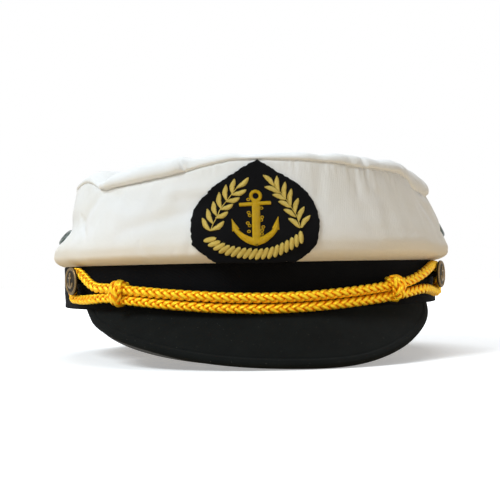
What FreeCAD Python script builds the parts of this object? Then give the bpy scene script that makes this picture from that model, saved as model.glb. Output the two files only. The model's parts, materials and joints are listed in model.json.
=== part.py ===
"""Yachting captain's cap: padded white crown on a stiff band, with visor, badge and sliding gold chin cord.

Frame: millimetres, +Z up, the front of the cap faces -Y, +X is the wearer's left.
Origin: centre of the head opening, in the plane of the band's lower edge.
Each node is written to parts/NODE.step.
"""
import FreeCAD, Part
import os
from math import asin, atan, cos, degrees, pi, radians, sin, sqrt, tan

Vec = FreeCAD.Vector

# ---- the band's outer plan: an oval of four arcs ------------------------------------------------
BAND_HALF_WIDTH = 89.0       # across the ears
BAND_HALF_LENGTH = 101.0     # front to back
END_TIGHTENING = 5.0         # the front and rear arcs' radius is that much less than the half width
BAND_HEIGHT = 18.8

# ---- layers of the band, from the outside in ----------------------------------------------------
BAND_CLOTH = 1.2
STIFFENER = 1.0
NUT_SPACE = 0.9              # room between stiffener and sweatband for flange and nuts
SWEATBAND = 1.0
SWEATBAND_HEIGHT = 31.0
SWEATBAND_SPLIT = 2.0        # open butt at the rear
LAYER_GAP = 0.1              # between sewn layers that lie on each other

# ---- crown: side wall profile as (offset from the band's plan, height over the band) ------------
CROWN_SIDE_PROFILE = [(0.0, 0.0), (4.4, 2.0), (6.1, 6.2), (4.4, 12.5), (0.9, 21.5), (-1.8, 29.5), (-4.4, 37.6)]
CROWN_TILT = 3.3             # degrees, the top seam is higher at the front
CROWN_CLOTH = 1.0
CROWN_FOAM = 2.0
STAY = 0.7
LINING = 0.6
INNER_START = 0.07           # share of the side profile below which foam and lining are cut away
SIDE_SEAM_Y = 38.0           # plane of the seams between front and back side panel
SIDE_SECTIONS = 8            # ovals that the side wall is lofted through, less one

# ---- crown: top panel profile as (offset from the seam, height over the seam) -------------------
CROWN_TOP_PROFILE = [(0.0, 0.0), (0.5, 1.2), (-1.6, 3.1), (-8.6, 4.6), (-19.6, 6.0), (-39.6, 7.6)]
TOP_ROLL_SHARE = 0.26        # share of that profile taken by the soft roll at the edge
ROLL_SECTIONS, MIDDLE_SECTIONS = 6, 4   # ovals that each of its two parts is lofted through, less one
# the lining under it, as (offset from the lining of the sides, height over the seam)
CEILING_PROFILE = [(0.0, 0.0), (-6.0, 1.2), (-16.0, 2.4), (-32.0, 3.4)]

# ---- front stay ---------------------------------------------------------------------------------
STAY_HALF_WIDTH = 30.0
STAY_BOTTOM = 5.5            # over the band
STAY_TOP = 34.0

# ---- visor --------------------------------------------------------------------------------------
VISOR_REACH = 24.0           # how far its edge stands in front of the band, in plan
VISOR_SLOPE = 38.5           # degrees below level
VISOR_DROP = 0.35            # its upper face passes this far under the band's outer lower edge
VISOR_CORNER_SHIFT = 0.5     # outline in plan: the corner arcs' centres stand this far off the middle
VISOR_FLATTENING = 10.0      # the front arc's radius is that much more than the corner arcs'
VISOR_BOARD = 1.8
VISOR_COVER = 0.5
VISOR_FLANGE = 0.7
VISOR_FLANGE_HEIGHT = 9.0
VISOR_TURN = 1.0             # the covers stand this far past the board's edge
VISOR_ROOT_INSET = 15.0      # its sides end this far inside the band's greatest width
VISOR_TAIL = 4.0             # straight part of each side behind the corner arc

# ---- side buttons -------------------------------------------------------------------------------
BUTTON_FORWARD = 50.6        # in front of the ears
BUTTON_HEIGHT = 12.4         # over the band's lower edge
BUTTON_DIAMETER = 12.5
BUTTON_RIM = 1.1             # diameter of the rolled rim
BUTTON_DOME = 0.9
BUTTON_SHELL = 0.5
POST_DIAMETER = 2.4
POST_CLEARANCE = 0.2         # radial, between post and band
NUT_DIAMETER = 7.0
NUT_THICKNESS = 0.6

# ---- chin cord ----------------------------------------------------------------------------------
CORD_DIAMETER = 4.3
STRAND_GAP = 0.1             # between the two strands, from knot to knot
CORD_STANDOFF = 2.4          # between band and strand, where the knots slide
POST_PLAY = 0.3              # between the cord's loop and the button's post
LOOP_PLAY = 0.6              # between the loop and the band, and the loop and the button's back
STRAND_FRONT_HEIGHT = 2.2    # of the gap between the strands over the band's lower edge, at the front
STRAND_END = 25.6            # the arc that the knots slide on ends this far in front of the buttons
LOOP_RADIUS = 5.8            # the loop that hangs on each button's post
LEG_START = 4.0              # straight run off the loop
LEG_END = 9.0                # straight run off the arc
BEND_SHARE = 0.45            # share of the shorter run that each bend takes up

# ---- sliding knots ------------------------------------------------------------------------------
RIGHT_KNOT_ANGLE = 39.0      # degrees from the front, at rest
LEFT_KNOT_ANGLE = 43.5
KNOT_TURN_DIAMETER = 4.3
KNOT_OVER = 1.4              # thickness above and below the strands
KNOT_FRONT = 3.2             # thickness in front of the strands
KNOT_BACK = 1.5              # thickness behind them
KNOT_PITCH = 3.1             # from turn to turn
KNOT_LEAN = 14.0             # degrees that the turns lean, each way
KNOT_CLEARANCE = 0.35        # round the strands
KNOT_SLOT = 30.0             # degrees of arc that the strands' slot is cut along

# ---- badge --------------------------------------------------------------------------------------
BADGE_SHIFT = -4.7           # the patch is sewn this far off the middle
BADGE_BOTTOM = 0.7           # over the band
BADGE_FELT = 1.2
THREAD = 0.7                 # how proud the embroidery stands
# the patch's right half, as (off its middle, over its foot): top, cheek, waist, corner, foot
PATCH_OUTLINE = [(0.0, 41.5), (14.1, 33.4), (26.1, 15.0), (24.6, 6.2), (17.0, 0.0)]
# each branch: its stem's two ends, measured as the patch is
STEM_FOOT, STEM_TIP = (18.0, 12.8), (7.7, 28.0)
STEM_BOW = 1.5               # how far it curves out
LEAF_PAIRS = 6
LEAF_LENGTH = 6.2
LEAF_WIDTH = 2.4
OUTER_LEAF = (34.0, -7.0)    # degrees from upright, at the foot and at the tip
INNER_LEAF = (-53.0, -46.0)
LEAF_STAGGER = 1.7           # each inner leaf starts that much higher
# the anchor, with heights over the patch's foot
RING_HEIGHT, RING_RADIUS, RING_HOLE = 26.3, 2.6, 1.3
STOCK_HEIGHT, STOCK_HALF_LENGTH, STOCK_WIDTH = 23.1, 6.2, 1.5
SHANK_WIDTH = 3.1
ANCHOR_FOOT = 6.0
ARM_RADIUS = 10.4            # outer edge
ARM_TAPER = 2.8              # thickness at the foot, thinner towards the flukes
ARM_INNER_RADIUS = 8.4
ARM_TOP = 13.5               # the arms stop at this height
FLUKE = [(9.2, 17.2), (6.5, 13.1), (10.1, 11.9)]
# the bar of stitches under it
BAR_RADIUS, BAR_WIDTH, BAR_FOOT, BAR_HALF_LENGTH = 30.4, 4.0, 0.5, 18.6

# ---- ventilation eyelets ------------------------------------------------------------------------
EYELET_SPACING = 34.0        # between the two on one side
EYELET_MIDDLE_Y = 5.0
EYELET_HEIGHT = 15.0         # over the band
EYELET_DIAMETER = 9.0
EYELET_HOLE = 3.6
EYELET_BARREL = 0.6
EYELET_FLANGE = 0.8
EYELET_ROUND = 0.48          # fillet of the flange's outer edge
EYELET_PLAY = 0.3            # between the cloth's face at the centre of a hole and each flange

# ---- sizes worked out from those above ----------------------------------------------------------
END_RADIUS = BAND_HALF_WIDTH - END_TIGHTENING
END_CENTRE = BAND_HALF_LENGTH - END_RADIUS
SIDE_RADIUS = ((BAND_HALF_WIDTH ** 2 + END_CENTRE ** 2 - END_RADIUS ** 2)
               / (2 * (BAND_HALF_WIDTH - END_RADIUS)))
SIDE_CENTRE = SIDE_RADIUS - BAND_HALF_WIDTH
BUTTON_ANGLE = degrees(asin(BUTTON_FORWARD / SIDE_RADIUS))   # about the side arc's centre
FOAM_OUT = CROWN_CLOTH + LAYER_GAP                 # depths under the cloth's outer surface
FOAM_IN = FOAM_OUT + CROWN_FOAM
STAY_OUT = FOAM_IN + LAYER_GAP
STAY_IN = STAY_OUT + STAY
LINING_OUT = STAY_IN + LAYER_GAP
LINING_IN = LINING_OUT + LINING
SEAM_OFFSET, SEAM_HEIGHT = CROWN_SIDE_PROFILE[-1]
CORD_RADIUS = CORD_DIAMETER / 2
STRAND_SPACING = CORD_DIAMETER + STRAND_GAP        # centre to centre
KNOT_HEIGHT = STRAND_SPACING + CORD_DIAMETER + 2 * (KNOT_CLEARANCE + KNOT_OVER)
LOOP_STANDOFF = CORD_RADIUS + LOOP_PLAY
STRAND_RADIUS = END_RADIUS + CORD_STANDOFF + CORD_RADIUS   # in plan
LOOP_DROP = LOOP_RADIUS - POST_DIAMETER / 2 - POST_PLAY - CORD_RADIUS
BUTTON_BACK = LOOP_STANDOFF + CORD_RADIUS + LOOP_PLAY
VISOR_FALL = tan(radians(VISOR_SLOPE))
VISOR_CORNER_RADIUS = BAND_HALF_WIDTH - VISOR_ROOT_INSET - VISOR_CORNER_SHIFT
VISOR_FRONT_RADIUS = VISOR_CORNER_RADIUS + VISOR_FLATTENING
REACH = 2 * BAND_HALF_LENGTH                       # takes a cutting solid right through the cap


def save(name, shape):
    """Write one node."""
    shape.exportStep("parts/%s.step" % name)


def fuse_all(shapes):
    """One solid of touching or crossing solids."""
    return shapes[0].multiFuse(shapes[1:])


def mirror(shape):
    """The same piece on the other side of the cap."""
    return shape.mirror(Vec(0, 0, 0), Vec(1, 0, 0))


def arc(a, b, c):
    return Part.Arc(a, b, c).toShape()


# ---- plan geometry ------------------------------------------------------------------------------

def oval_edges(offset):
    """Four tangent arcs, parallel to the band's plan, in the plane z = 0."""
    end, side = END_RADIUS + offset, SIDE_RADIUS + offset
    turn = asin(SIDE_CENTRE / (SIDE_RADIUS - END_RADIUS))      # half angle of the front arc
    tip_x, tip_y = end * sin(turn), END_CENTRE + end * cos(turn)
    front_right, rear_right = Vec(tip_x, -tip_y, 0), Vec(tip_x, tip_y, 0)
    front_left, rear_left = Vec(-tip_x, -tip_y, 0), Vec(-tip_x, tip_y, 0)
    return [arc(front_left, Vec(0, -END_CENTRE - end, 0), front_right),
            arc(front_right, Vec(side - SIDE_CENTRE, 0, 0), rear_right),
            arc(rear_right, Vec(0, END_CENTRE + end, 0), rear_left),
            arc(rear_left, Vec(SIDE_CENTRE - side, 0, 0), front_left)]


def oval_prism(offset, low, high):
    wire = Part.Wire(oval_edges(offset))
    wire.translate(Vec(0, 0, low))
    return Part.Face(wire).extrude(Vec(0, 0, high - low))


def oval_ring(outer, inner, low, high):
    """A straight wall that follows the oval; outer and inner are offsets."""
    return oval_prism(outer, low, high).cut(oval_prism(inner, low - 1, high + 1))


def side_point(angle, offset, height):
    """A point on the right-hand side arc, angle degrees in front of the ear."""
    radius = SIDE_RADIUS + offset
    return Vec(radius * cos(radians(angle)) - SIDE_CENTRE, -radius * sin(radians(angle)), height)


# ---- crown shells -------------------------------------------------------------------------------

def crown_section(offset, height):
    """A closed oval round the crown; the higher it is, the more it tips up at the front."""
    share = min(max(height / SEAM_HEIGHT, 0.0), 1.0)
    wire = Part.Wire(oval_edges(offset))
    wire.rotate(Vec(0, 0, 0), Vec(1, 0, 0), -CROWN_TILT * share)
    wire.translate(Vec(0, 0, BAND_HEIGHT + height))
    return wire


def inward_points(profile, depth, shares, first=None, last=None):
    """Points of the profile's smooth curve, moved depth along its inward normal.

    shares are places along the curve from 0 to 1; first and last replace the normals at the ends.
    """
    curve = Part.BSplineCurve()
    curve.interpolate([Vec(offset, height, 0) for offset, height in profile])
    points = []
    for share in shares:
        at = curve.FirstParameter + (curve.LastParameter - curve.FirstParameter) * share
        point, along = curve.value(at), curve.tangent(at)[0]
        normal = Vec(-along.y, along.x, 0)
        if share == 0.0 and first:
            normal = first
        if share == 1.0 and last:
            normal = last
        moved = point + normal * depth
        points.append((moved.x, moved.y))
    return points


def loft(points):
    return Part.makeLoft([crown_section(*point) for point in points], True, False)


def side_form(depth, start=0.0):
    """The solid inside the crown's side wall, its surface depth under the cloth's outer face."""
    shares = [start + (1 - start) * step / SIDE_SECTIONS for step in range(SIDE_SECTIONS + 1)]
    level = Vec(-1, 0, 0)
    return loft(inward_points(CROWN_SIDE_PROFILE, depth, shares, level, level))


def side_layer(outer, inner, start=0.0):
    """A layer of the side wall between two depths, open below."""
    (foot_point,) = inward_points(CROWN_SIDE_PROFILE, inner, [start], Vec(-1, 0, 0))
    foot = Part.Face(crown_section(*foot_point)).extrude(Vec(0, 0, -BAND_HEIGHT))
    return side_form(outer, start).cut(side_form(inner, start)).cut(foot)


def top_form(depth):
    """The solid under the top panel, down to the seam's plane: the edge roll, then the flatter middle."""
    profile = [(SEAM_OFFSET + offset, SEAM_HEIGHT + height) for offset, height in CROWN_TOP_PROFILE]
    roll = [TOP_ROLL_SHARE * step / ROLL_SECTIONS for step in range(ROLL_SECTIONS + 1)]
    middle = [TOP_ROLL_SHARE + (1 - TOP_ROLL_SHARE) * step / MIDDLE_SECTIONS
              for step in range(MIDDLE_SECTIONS + 1)]
    ends = (Vec(-1, 0, 0), Vec(0, -1, 0))
    return fuse_all([loft(inward_points(profile, depth, shares, *ends)) for shares in (roll, middle)])


def ceiling_form(drop):
    """The solid under the top lining; drop lowers its surface."""
    inset = SEAM_OFFSET - LINING_OUT - drop
    profile = [(inset + offset, SEAM_HEIGHT + height - drop * min(1, index))
               for index, (offset, height) in enumerate(CEILING_PROFILE)]
    return loft(profile)


def front_prism(edges):
    """An outline in the plane y = 0, run forward through the crown's front."""
    return Part.Face(Part.Wire(edges)).extrude(Vec(0, -REACH, 0))


# ---- band ---------------------------------------------------------------------------------------

def post_holes(clearance):
    """Holes for the two button posts."""
    start = side_point(BUTTON_ANGLE, -2 * SWEATBAND - NUT_SPACE - STIFFENER - BAND_CLOTH, BUTTON_HEIGHT)
    hole = Part.makeCylinder(POST_DIAMETER / 2 + clearance, REACH, start, button_axis())
    return hole.fuse(mirror(hole))


def make_band():
    cloth_in = -BAND_CLOTH
    stiff_in = cloth_in - STIFFENER
    sweat_out = stiff_in - NUT_SPACE
    sweat_in = sweat_out - SWEATBAND
    below = visor_space()
    cloth = oval_ring(0, cloth_in, 0, BAND_HEIGHT).cut(below).cut(post_holes(POST_CLEARANCE))
    stiffener = oval_ring(cloth_in, stiff_in, 0, BAND_HEIGHT).cut(below).cut(post_holes(POST_CLEARANCE))
    sweatband = oval_ring(sweat_out, sweat_in, 0, SWEATBAND_HEIGHT)
    split = Part.makeBox(SWEATBAND_SPLIT, BAND_HALF_LENGTH, 2 * SWEATBAND_HEIGHT,
                         Vec(-SWEATBAND_SPLIT / 2, 0, -1))
    save("cap_band", cloth)
    save("band_stiffener", stiffener)
    save("sweatband", sweatband.cut(split))


# ---- visor --------------------------------------------------------------------------------------

def visor_outline(growth):
    """The plan outline, closed at the centre of the front arc, as a prism taller than the cap."""
    front, corner = VISOR_FRONT_RADIUS + growth, VISOR_CORNER_RADIUS + growth
    front_y = -(BAND_HALF_LENGTH + VISOR_REACH) + VISOR_FRONT_RADIUS
    shift = VISOR_CORNER_SHIFT
    turn = asin(shift / VISOR_FLATTENING)
    corner_y = front_y - VISOR_FLATTENING * cos(turn)
    join = Vec(front * sin(turn), front_y - front * cos(turn), 0)
    middle = (turn + pi / 2) / 2
    bend = Vec(shift + corner * sin(middle), corner_y - corner * cos(middle), 0)
    side = Vec(shift + corner, corner_y, 0)
    back = Vec(side.x, corner_y + VISOR_TAIL, 0)
    flip = [Vec(-point.x, point.y, 0) for point in (join, bend, side, back)]
    edges = [arc(flip[0], Vec(0, front_y - front, 0), join), arc(join, bend, side),
             Part.makeLine(side, back), Part.makeLine(back, Vec(0, -END_CENTRE, 0)),
             Part.makeLine(Vec(0, -END_CENTRE, 0), flip[3]), Part.makeLine(flip[3], flip[2]),
             arc(flip[2], flip[1], flip[0])]
    face = Part.Face(Part.Wire(edges))
    face.translate(Vec(0, 0, -REACH / 2))
    return face.extrude(Vec(0, 0, REACH))


def visor_turned(points):
    """A profile of (radius, height) points turned round the front arc's centre."""
    centre = Vec(0, -END_CENTRE, 0)
    face = Part.Face(Part.makePolygon([Vec(r, -END_CENTRE, z) for r, z in points + points[:1]]))
    return face.revolve(centre, Vec(0, 0, 1), -180)


def visor_height(radius):
    """Height of the visor's upper face at that distance from the front arc's centre."""
    return (END_RADIUS - radius) * VISOR_FALL - VISOR_DROP


def sloping_layer(inner, outer, top, bottom):
    """A profile strip that follows the slope; top and bottom are depths under the upper face."""
    down = 1 / cos(radians(VISOR_SLOPE))
    return [(inner, visor_height(inner) - top * down), (outer, visor_height(outer) - top * down),
            (outer, visor_height(outer) - bottom * down), (inner, visor_height(inner) - bottom * down)]


def visor_space():
    """Everything under the visor's upper face, to be cut from the band."""
    inner, outer, under = END_RADIUS - 2 * (BAND_CLOTH + STIFFENER), END_RADIUS + BAND_CLOTH, -BAND_HEIGHT
    profile = [(inner, visor_height(inner)), (outer, visor_height(outer)), (outer, under), (inner, under)]
    return visor_turned(profile).common(visor_outline(0))


def make_visor():
    far = 2 * END_RADIUS
    flange_out = END_RADIUS - BAND_CLOTH - STIFFENER - LAYER_GAP
    flange_in = flange_out - VISOR_FLANGE
    board_in = flange_in
    cover = VISOR_COVER
    board = sloping_layer(board_in, far, cover, cover + VISOR_BOARD)
    flange = [(flange_in, visor_height(flange_in) - 2 * cover),
              (flange_out, visor_height(flange_out) - 2 * cover),
              (flange_out, VISOR_FLANGE_HEIGHT), (flange_in, VISOR_FLANGE_HEIGHT)]
    inside = visor_outline(-VISOR_TURN)
    sweatband = oval_prism(LAYER_GAP - BAND_CLOTH - STIFFENER - NUT_SPACE, -REACH, REACH)
    save("visor_board", fuse_all([visor_turned(board), visor_turned(flange)]).common(inside).cut(sweatband))
    whole = visor_outline(0)
    top = sloping_layer(flange_out + LAYER_GAP, far, 0, cover)
    under = sloping_layer(board_in, far, cover + VISOR_BOARD, 2 * cover + VISOR_BOARD)
    rim = visor_turned(sloping_layer(END_RADIUS, far, cover, cover + VISOR_BOARD)).common(whole).cut(inside)
    save("visor_top_cover", fuse_all([visor_turned(top).common(whole), rim]))
    save("visor_under_cover", visor_turned(under).common(whole).cut(sweatband))


# ---- crown --------------------------------------------------------------------------------------

def eyelet_places():
    """Point on the cloth and outward direction of each eyelet on the right-hand side."""
    curve = Part.BSplineCurve()
    curve.interpolate([Vec(offset, height, 0) for offset, height in CROWN_SIDE_PROFILE])
    line = Part.LineSegment(Vec(-REACH, EYELET_HEIGHT, 0), Vec(REACH, EYELET_HEIGHT, 0))
    cross = curve.intersect(line)[0]
    along = curve.tangent(curve.parameter(Vec(cross.X, cross.Y, 0)))[0]
    places = []
    for y in (EYELET_MIDDLE_Y - EYELET_SPACING / 2, EYELET_MIDDLE_Y + EYELET_SPACING / 2):
        angle = asin(-y / (SIDE_RADIUS + cross.X))
        tilt = radians(CROWN_TILT * EYELET_HEIGHT / SEAM_HEIGHT)
        height = BAND_HEIGHT + EYELET_HEIGHT - y * tan(tilt)
        point = side_point(degrees(angle), cross.X, height)
        outward = Vec(cos(angle) * along.y, -sin(angle) * along.y, -along.x)
        places.append((point, outward))
    return places


def eyelet_holes():
    radius, deep = EYELET_HOLE / 2 + EYELET_BARREL + LAYER_GAP, 2 * LINING_IN
    holes = [Part.makeCylinder(radius, 2 * deep, point - outward * deep, outward)
             for point, outward in eyelet_places()]
    return holes + [mirror(hole) for hole in holes]


def make_crown():
    holes = Part.makeCompound(eyelet_holes())
    cloth = side_layer(0, CROWN_CLOTH).cut(holes)
    rear_half = Part.makeBox(2 * REACH, REACH, 2 * REACH, Vec(-REACH, SIDE_SEAM_Y, -REACH))
    save("crown_front_panel", cloth.cut(rear_half))
    save("crown_back_panel", cloth.common(rear_half))
    save("crown_foam_side", side_layer(FOAM_OUT, FOAM_IN, INNER_START).cut(holes))
    save("lining_side", side_layer(LINING_OUT, LINING_IN, INNER_START).cut(holes))
    stay = Part.makeBox(2 * STAY_HALF_WIDTH, REACH, STAY_TOP - STAY_BOTTOM,
                        Vec(-STAY_HALF_WIDTH, -REACH, BAND_HEIGHT + STAY_BOTTOM))
    save("front_stay", side_layer(STAY_OUT, STAY_IN, INNER_START).common(stay))
    save("crown_top_panel", top_form(0).cut(top_form(CROWN_CLOTH)))
    save("crown_foam_top", top_form(FOAM_OUT).cut(ceiling_form(-LAYER_GAP)))
    save("lining_top", ceiling_form(0).cut(ceiling_form(LINING)))


def make_eyelets():
    barrel_out = EYELET_HOLE / 2 + EYELET_BARREL
    grommets, washers = [], []
    for point, outward in eyelet_places():
        def disc(radius, start, end):
            return Part.makeCylinder(radius, end - start, point + outward * start, outward)
        inside = -LINING_IN - EYELET_PLAY
        rim = disc(EYELET_DIAMETER / 2, EYELET_PLAY, EYELET_PLAY + EYELET_FLANGE)
        rim = rim.makeFillet(EYELET_ROUND, [rim.Edges[0]])
        barrel = disc(barrel_out, inside - EYELET_FLANGE, EYELET_PLAY)
        bore = disc(EYELET_HOLE / 2, -REACH, REACH)
        grommets.append(fuse_all([rim, barrel]).cut(bore))
        washer = disc(EYELET_DIAMETER / 2, inside - EYELET_FLANGE, inside)
        washers.append(washer.cut(disc(barrel_out, -REACH, REACH)))
    save("eyelets_right", Part.makeCompound(grommets))
    save("eyelets_left", mirror(Part.makeCompound(grommets)))
    save("eyelet_washers_right", Part.makeCompound(washers))
    save("eyelet_washers_left", mirror(Part.makeCompound(washers)))


# ---- badge --------------------------------------------------------------------------------------

def badge_point(x, height):
    """A point of the badge's drawing: x off its middle, height over its foot."""
    return Vec(BADGE_SHIFT + x, 0, BAND_HEIGHT + BADGE_BOTTOM + height)


def patch_outline():
    """A spade: pointed top, full cheeks, rounded lower corners and a straight foot."""
    top, cheek, waist, corner, base = [badge_point(*point) for point in PATCH_OUTLINE]
    left = [badge_point(-x, height) for x, height in PATCH_OUTLINE]
    return [arc(top, cheek, waist), arc(waist, corner, base), Part.makeLine(base, left[4]),
            arc(left[4], left[3], left[2]), arc(left[2], left[1], top)]


def leaf(base_x, base_height, heading):
    """A pointed leaf of two arcs; heading in degrees from upright, clockwise."""
    along = (sin(radians(heading)), cos(radians(heading)))
    tip = (base_x + LEAF_LENGTH * along[0], base_height + LEAF_LENGTH * along[1])
    middle = ((base_x + tip[0]) / 2, (base_height + tip[1]) / 2)
    half = LEAF_WIDTH / 2
    one = (middle[0] + half * along[1], middle[1] - half * along[0])
    two = (middle[0] - half * along[1], middle[1] + half * along[0])
    return [arc(badge_point(base_x, base_height), badge_point(*one), badge_point(*tip)),
            arc(badge_point(*tip), badge_point(*two), badge_point(base_x, base_height))]


def branch_leaves():
    """The right-hand branch: pairs of leaves along a bowed stem that leans in."""
    prisms = []
    for pair in range(LEAF_PAIRS):
        share = pair / (LEAF_PAIRS - 1)
        x = STEM_FOOT[0] + (STEM_TIP[0] - STEM_FOOT[0]) * share + STEM_BOW * sin(pi * share)
        height = STEM_FOOT[1] + (STEM_TIP[1] - STEM_FOOT[1]) * share
        for (first, last), higher in ((OUTER_LEAF, 0), (INNER_LEAF, LEAF_STAGGER)):
            heading = first + (last - first) * share
            prisms.append(front_prism(leaf(x, height + higher, heading)))
    return prisms


def anchor_prisms():
    """Ring, stock, shank, curved arms and two flukes."""
    def disc(radius, height):
        return Part.makeCylinder(radius, REACH, badge_point(0, height), Vec(0, -1, 0))

    def block(half_width, low, high):
        corner = badge_point(-half_width, low) - Vec(0, REACH, 0)
        return Part.makeBox(2 * half_width, REACH, high - low, corner)

    def fluke(side):
        points = [badge_point(side * x, height) for x, height in FLUKE]
        return front_prism([Part.makeLine(points[i], points[(i + 1) % 3]) for i in range(3)])

    ring = disc(RING_RADIUS, RING_HEIGHT).cut(disc(RING_HOLE, RING_HEIGHT))
    hollow = disc(ARM_INNER_RADIUS, ANCHOR_FOOT + ARM_TAPER + ARM_INNER_RADIUS)
    arms = disc(ARM_RADIUS, ANCHOR_FOOT + ARM_RADIUS).cut(hollow).common(block(ARM_RADIUS, 0, ARM_TOP))
    shank = block(SHANK_WIDTH / 2, ANCHOR_FOOT, RING_HEIGHT - RING_HOLE)
    stock = block(STOCK_HALF_LENGTH, STOCK_HEIGHT - STOCK_WIDTH / 2, STOCK_HEIGHT + STOCK_WIDTH / 2)
    return fuse_all([ring, shank, stock, arms, fluke(1), fluke(-1)])


def thread_bar():
    """The curved bar of slanted stitches along the badge's foot, as one strip."""
    centre = badge_point(0, BAR_RADIUS + BAR_FOOT)
    strip = Part.makeCylinder(BAR_RADIUS, REACH, centre, Vec(0, -1, 0))
    strip = strip.cut(Part.makeCylinder(BAR_RADIUS - BAR_WIDTH, REACH, centre, Vec(0, -1, 0)))
    corner = badge_point(-BAR_HALF_LENGTH, 0) - Vec(0, REACH, 0)
    return strip.common(Part.makeBox(2 * BAR_HALF_LENGTH, REACH, BAR_RADIUS / 2, corner))


def make_badge():
    under = -LAYER_GAP
    felt = under - BADGE_FELT
    save("badge_patch", side_layer(felt, under).common(front_prism(patch_outline())))
    proud = side_layer(felt - THREAD, felt)
    leaves = branch_leaves()
    middle = badge_point(0, 0).x
    left = [prism.mirror(Vec(middle, 0, 0), Vec(1, 0, 0)) for prism in leaves]
    save("badge_branch_right", proud.common(fuse_all(leaves)))
    save("badge_branch_left", proud.common(fuse_all(left)))
    save("badge_anchor", proud.common(anchor_prisms()))
    save("badge_thread_bar", proud.common(thread_bar()))


# ---- side buttons -------------------------------------------------------------------------------

def button_axis():
    """Outward direction of the right-hand button's post."""
    return Vec(cos(radians(BUTTON_ANGLE)), -sin(radians(BUTTON_ANGLE)), 0)


def turned_on_post(edges):
    """A profile, drawn with X out from the band and Y as radius, turned round the right-hand post."""
    solid = Part.Face(Part.Wire(edges)).revolve(Vec(0, 0, 0), Vec(1, 0, 0), 360)
    solid.rotate(Vec(0, 0, 0), Vec(0, 0, 1), -BUTTON_ANGLE)
    solid.translate(side_point(BUTTON_ANGLE, 0, BUTTON_HEIGHT))
    return solid


def outline(corners):
    """Straight edges through (radius, out) corners, closed."""
    points = [Vec(out, radius, 0) for radius, out in corners]
    return [Part.makeLine(points[i], points[(i + 1) % len(points)]) for i in range(len(points))]


def dome_arc(crest, reach):
    """From the crest, on the axis, down to the dome's edge: part of a sphere that rises by BUTTON_DOME."""
    ball = (reach ** 2 + BUTTON_DOME ** 2) / (2 * BUTTON_DOME)
    half = asin(reach / ball) / 2
    return arc(Vec(crest, 0, 0), Vec(crest - ball + ball * cos(half), ball * sin(half), 0),
               Vec(crest - BUTTON_DOME, reach, 0))


def make_buttons():
    radius, rim = BUTTON_DIAMETER / 2, BUTTON_RIM / 2
    back, shell = BUTTON_BACK, BUTTON_SHELL
    plate_top = back + shell
    post = POST_DIAMETER / 2
    inner_end = -(BAND_CLOTH + STIFFENER + LAYER_GAP + NUT_THICKNESS)
    flat = radius - 2 * rim
    plate = outline([(0, plate_top), (flat, plate_top), (flat, back), (post, back),
                     (post, inner_end), (0, inner_end)])
    crest = plate_top + LAYER_GAP + BUTTON_DOME
    low = plate_top + LAYER_GAP
    dome_out, dome_in = dome_arc(crest + shell, flat), dome_arc(crest, flat)
    rolled = arc(Vec(low + shell, flat, 0), Vec(back + shell + 2 * rim, radius - rim, 0),
                 Vec(back + shell + rim, radius, 0))
    skirt = Part.makePolygon([Vec(back + shell + rim, radius, 0), Vec(back, radius, 0), Vec(back, flat, 0),
                              Vec(low, flat, 0)])
    middle = Part.makeLine(Vec(crest, 0, 0), Vec(crest + shell, 0, 0))
    front = turned_on_post([dome_out, rolled] + skirt.Edges + [dome_in, middle])
    nut_out = inner_end + NUT_THICKNESS
    nut = outline([(post, nut_out), (NUT_DIAMETER / 2, nut_out), (NUT_DIAMETER / 2, inner_end),
                   (post, inner_end)])
    for name, piece in (("button_face", front), ("button_back", turned_on_post(plate)),
                        ("button_nut", turned_on_post(nut))):
        save(name + "_right", piece)
        save(name + "_left", mirror(piece))


# ---- chin cord ----------------------------------------------------------------------------------

def cord_tilt():
    """Degrees that the strands hang below level in front of the buttons."""
    pivot = side_point(BUTTON_ANGLE, LOOP_STANDOFF, BUTTON_HEIGHT)
    return degrees(atan((BUTTON_HEIGHT - STRAND_FRONT_HEIGHT) / (END_CENTRE + STRAND_RADIUS + pivot.y)))


def cord_frame(point):
    """From the cord's own frame, level and centred between the posts, to the cap's."""
    pivot = side_point(BUTTON_ANGLE, LOOP_STANDOFF, BUTTON_HEIGHT)
    turned = FreeCAD.Rotation(Vec(1, 0, 0), cord_tilt()).multVec(point)
    return turned + Vec(0, pivot.y, pivot.z)


def strand_arc():
    """Centre distance, radius and half angle of the arc the strands follow in front."""
    pivot = side_point(BUTTON_ANGLE, LOOP_STANDOFF, BUTTON_HEIGHT)
    end_y = -BUTTON_FORWARD - STRAND_END
    end_x = sqrt(STRAND_RADIUS ** 2 - (end_y + END_CENTRE) ** 2)
    level = cos(radians(cord_tilt()))
    front = (-END_CENTRE - STRAND_RADIUS - pivot.y) / level
    rise = (end_y - pivot.y) / level - front
    bend = (end_x ** 2 + rise ** 2) / (2 * rise)
    return front + bend, bend, asin(end_x / bend)


def rounded_path(points):
    """Straight runs joined by tangent arcs, each as large as its two runs allow."""
    edges, last = [], points[0]
    for before, corner, after in zip(points, points[1:], points[2:]):
        back, ahead = before - corner, after - corner
        turn = pi - back.getAngle(ahead)
        radius = BEND_SHARE * min(back.Length, ahead.Length) / tan(turn / 2)
        reach = radius * tan(turn / 2)
        start, end = corner + back.normalize() * reach, corner + ahead.normalize() * reach
        middle = (start + end) / 2 - corner
        tip = corner + middle.normalize() * (radius / cos(turn / 2) - radius)
        edges += [Part.makeLine(last, start), arc(start, tip, end)]
        last = end
        print("cord arc radius %.1f" % radius)
    return edges + [Part.makeLine(last, points[-1])]


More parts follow.
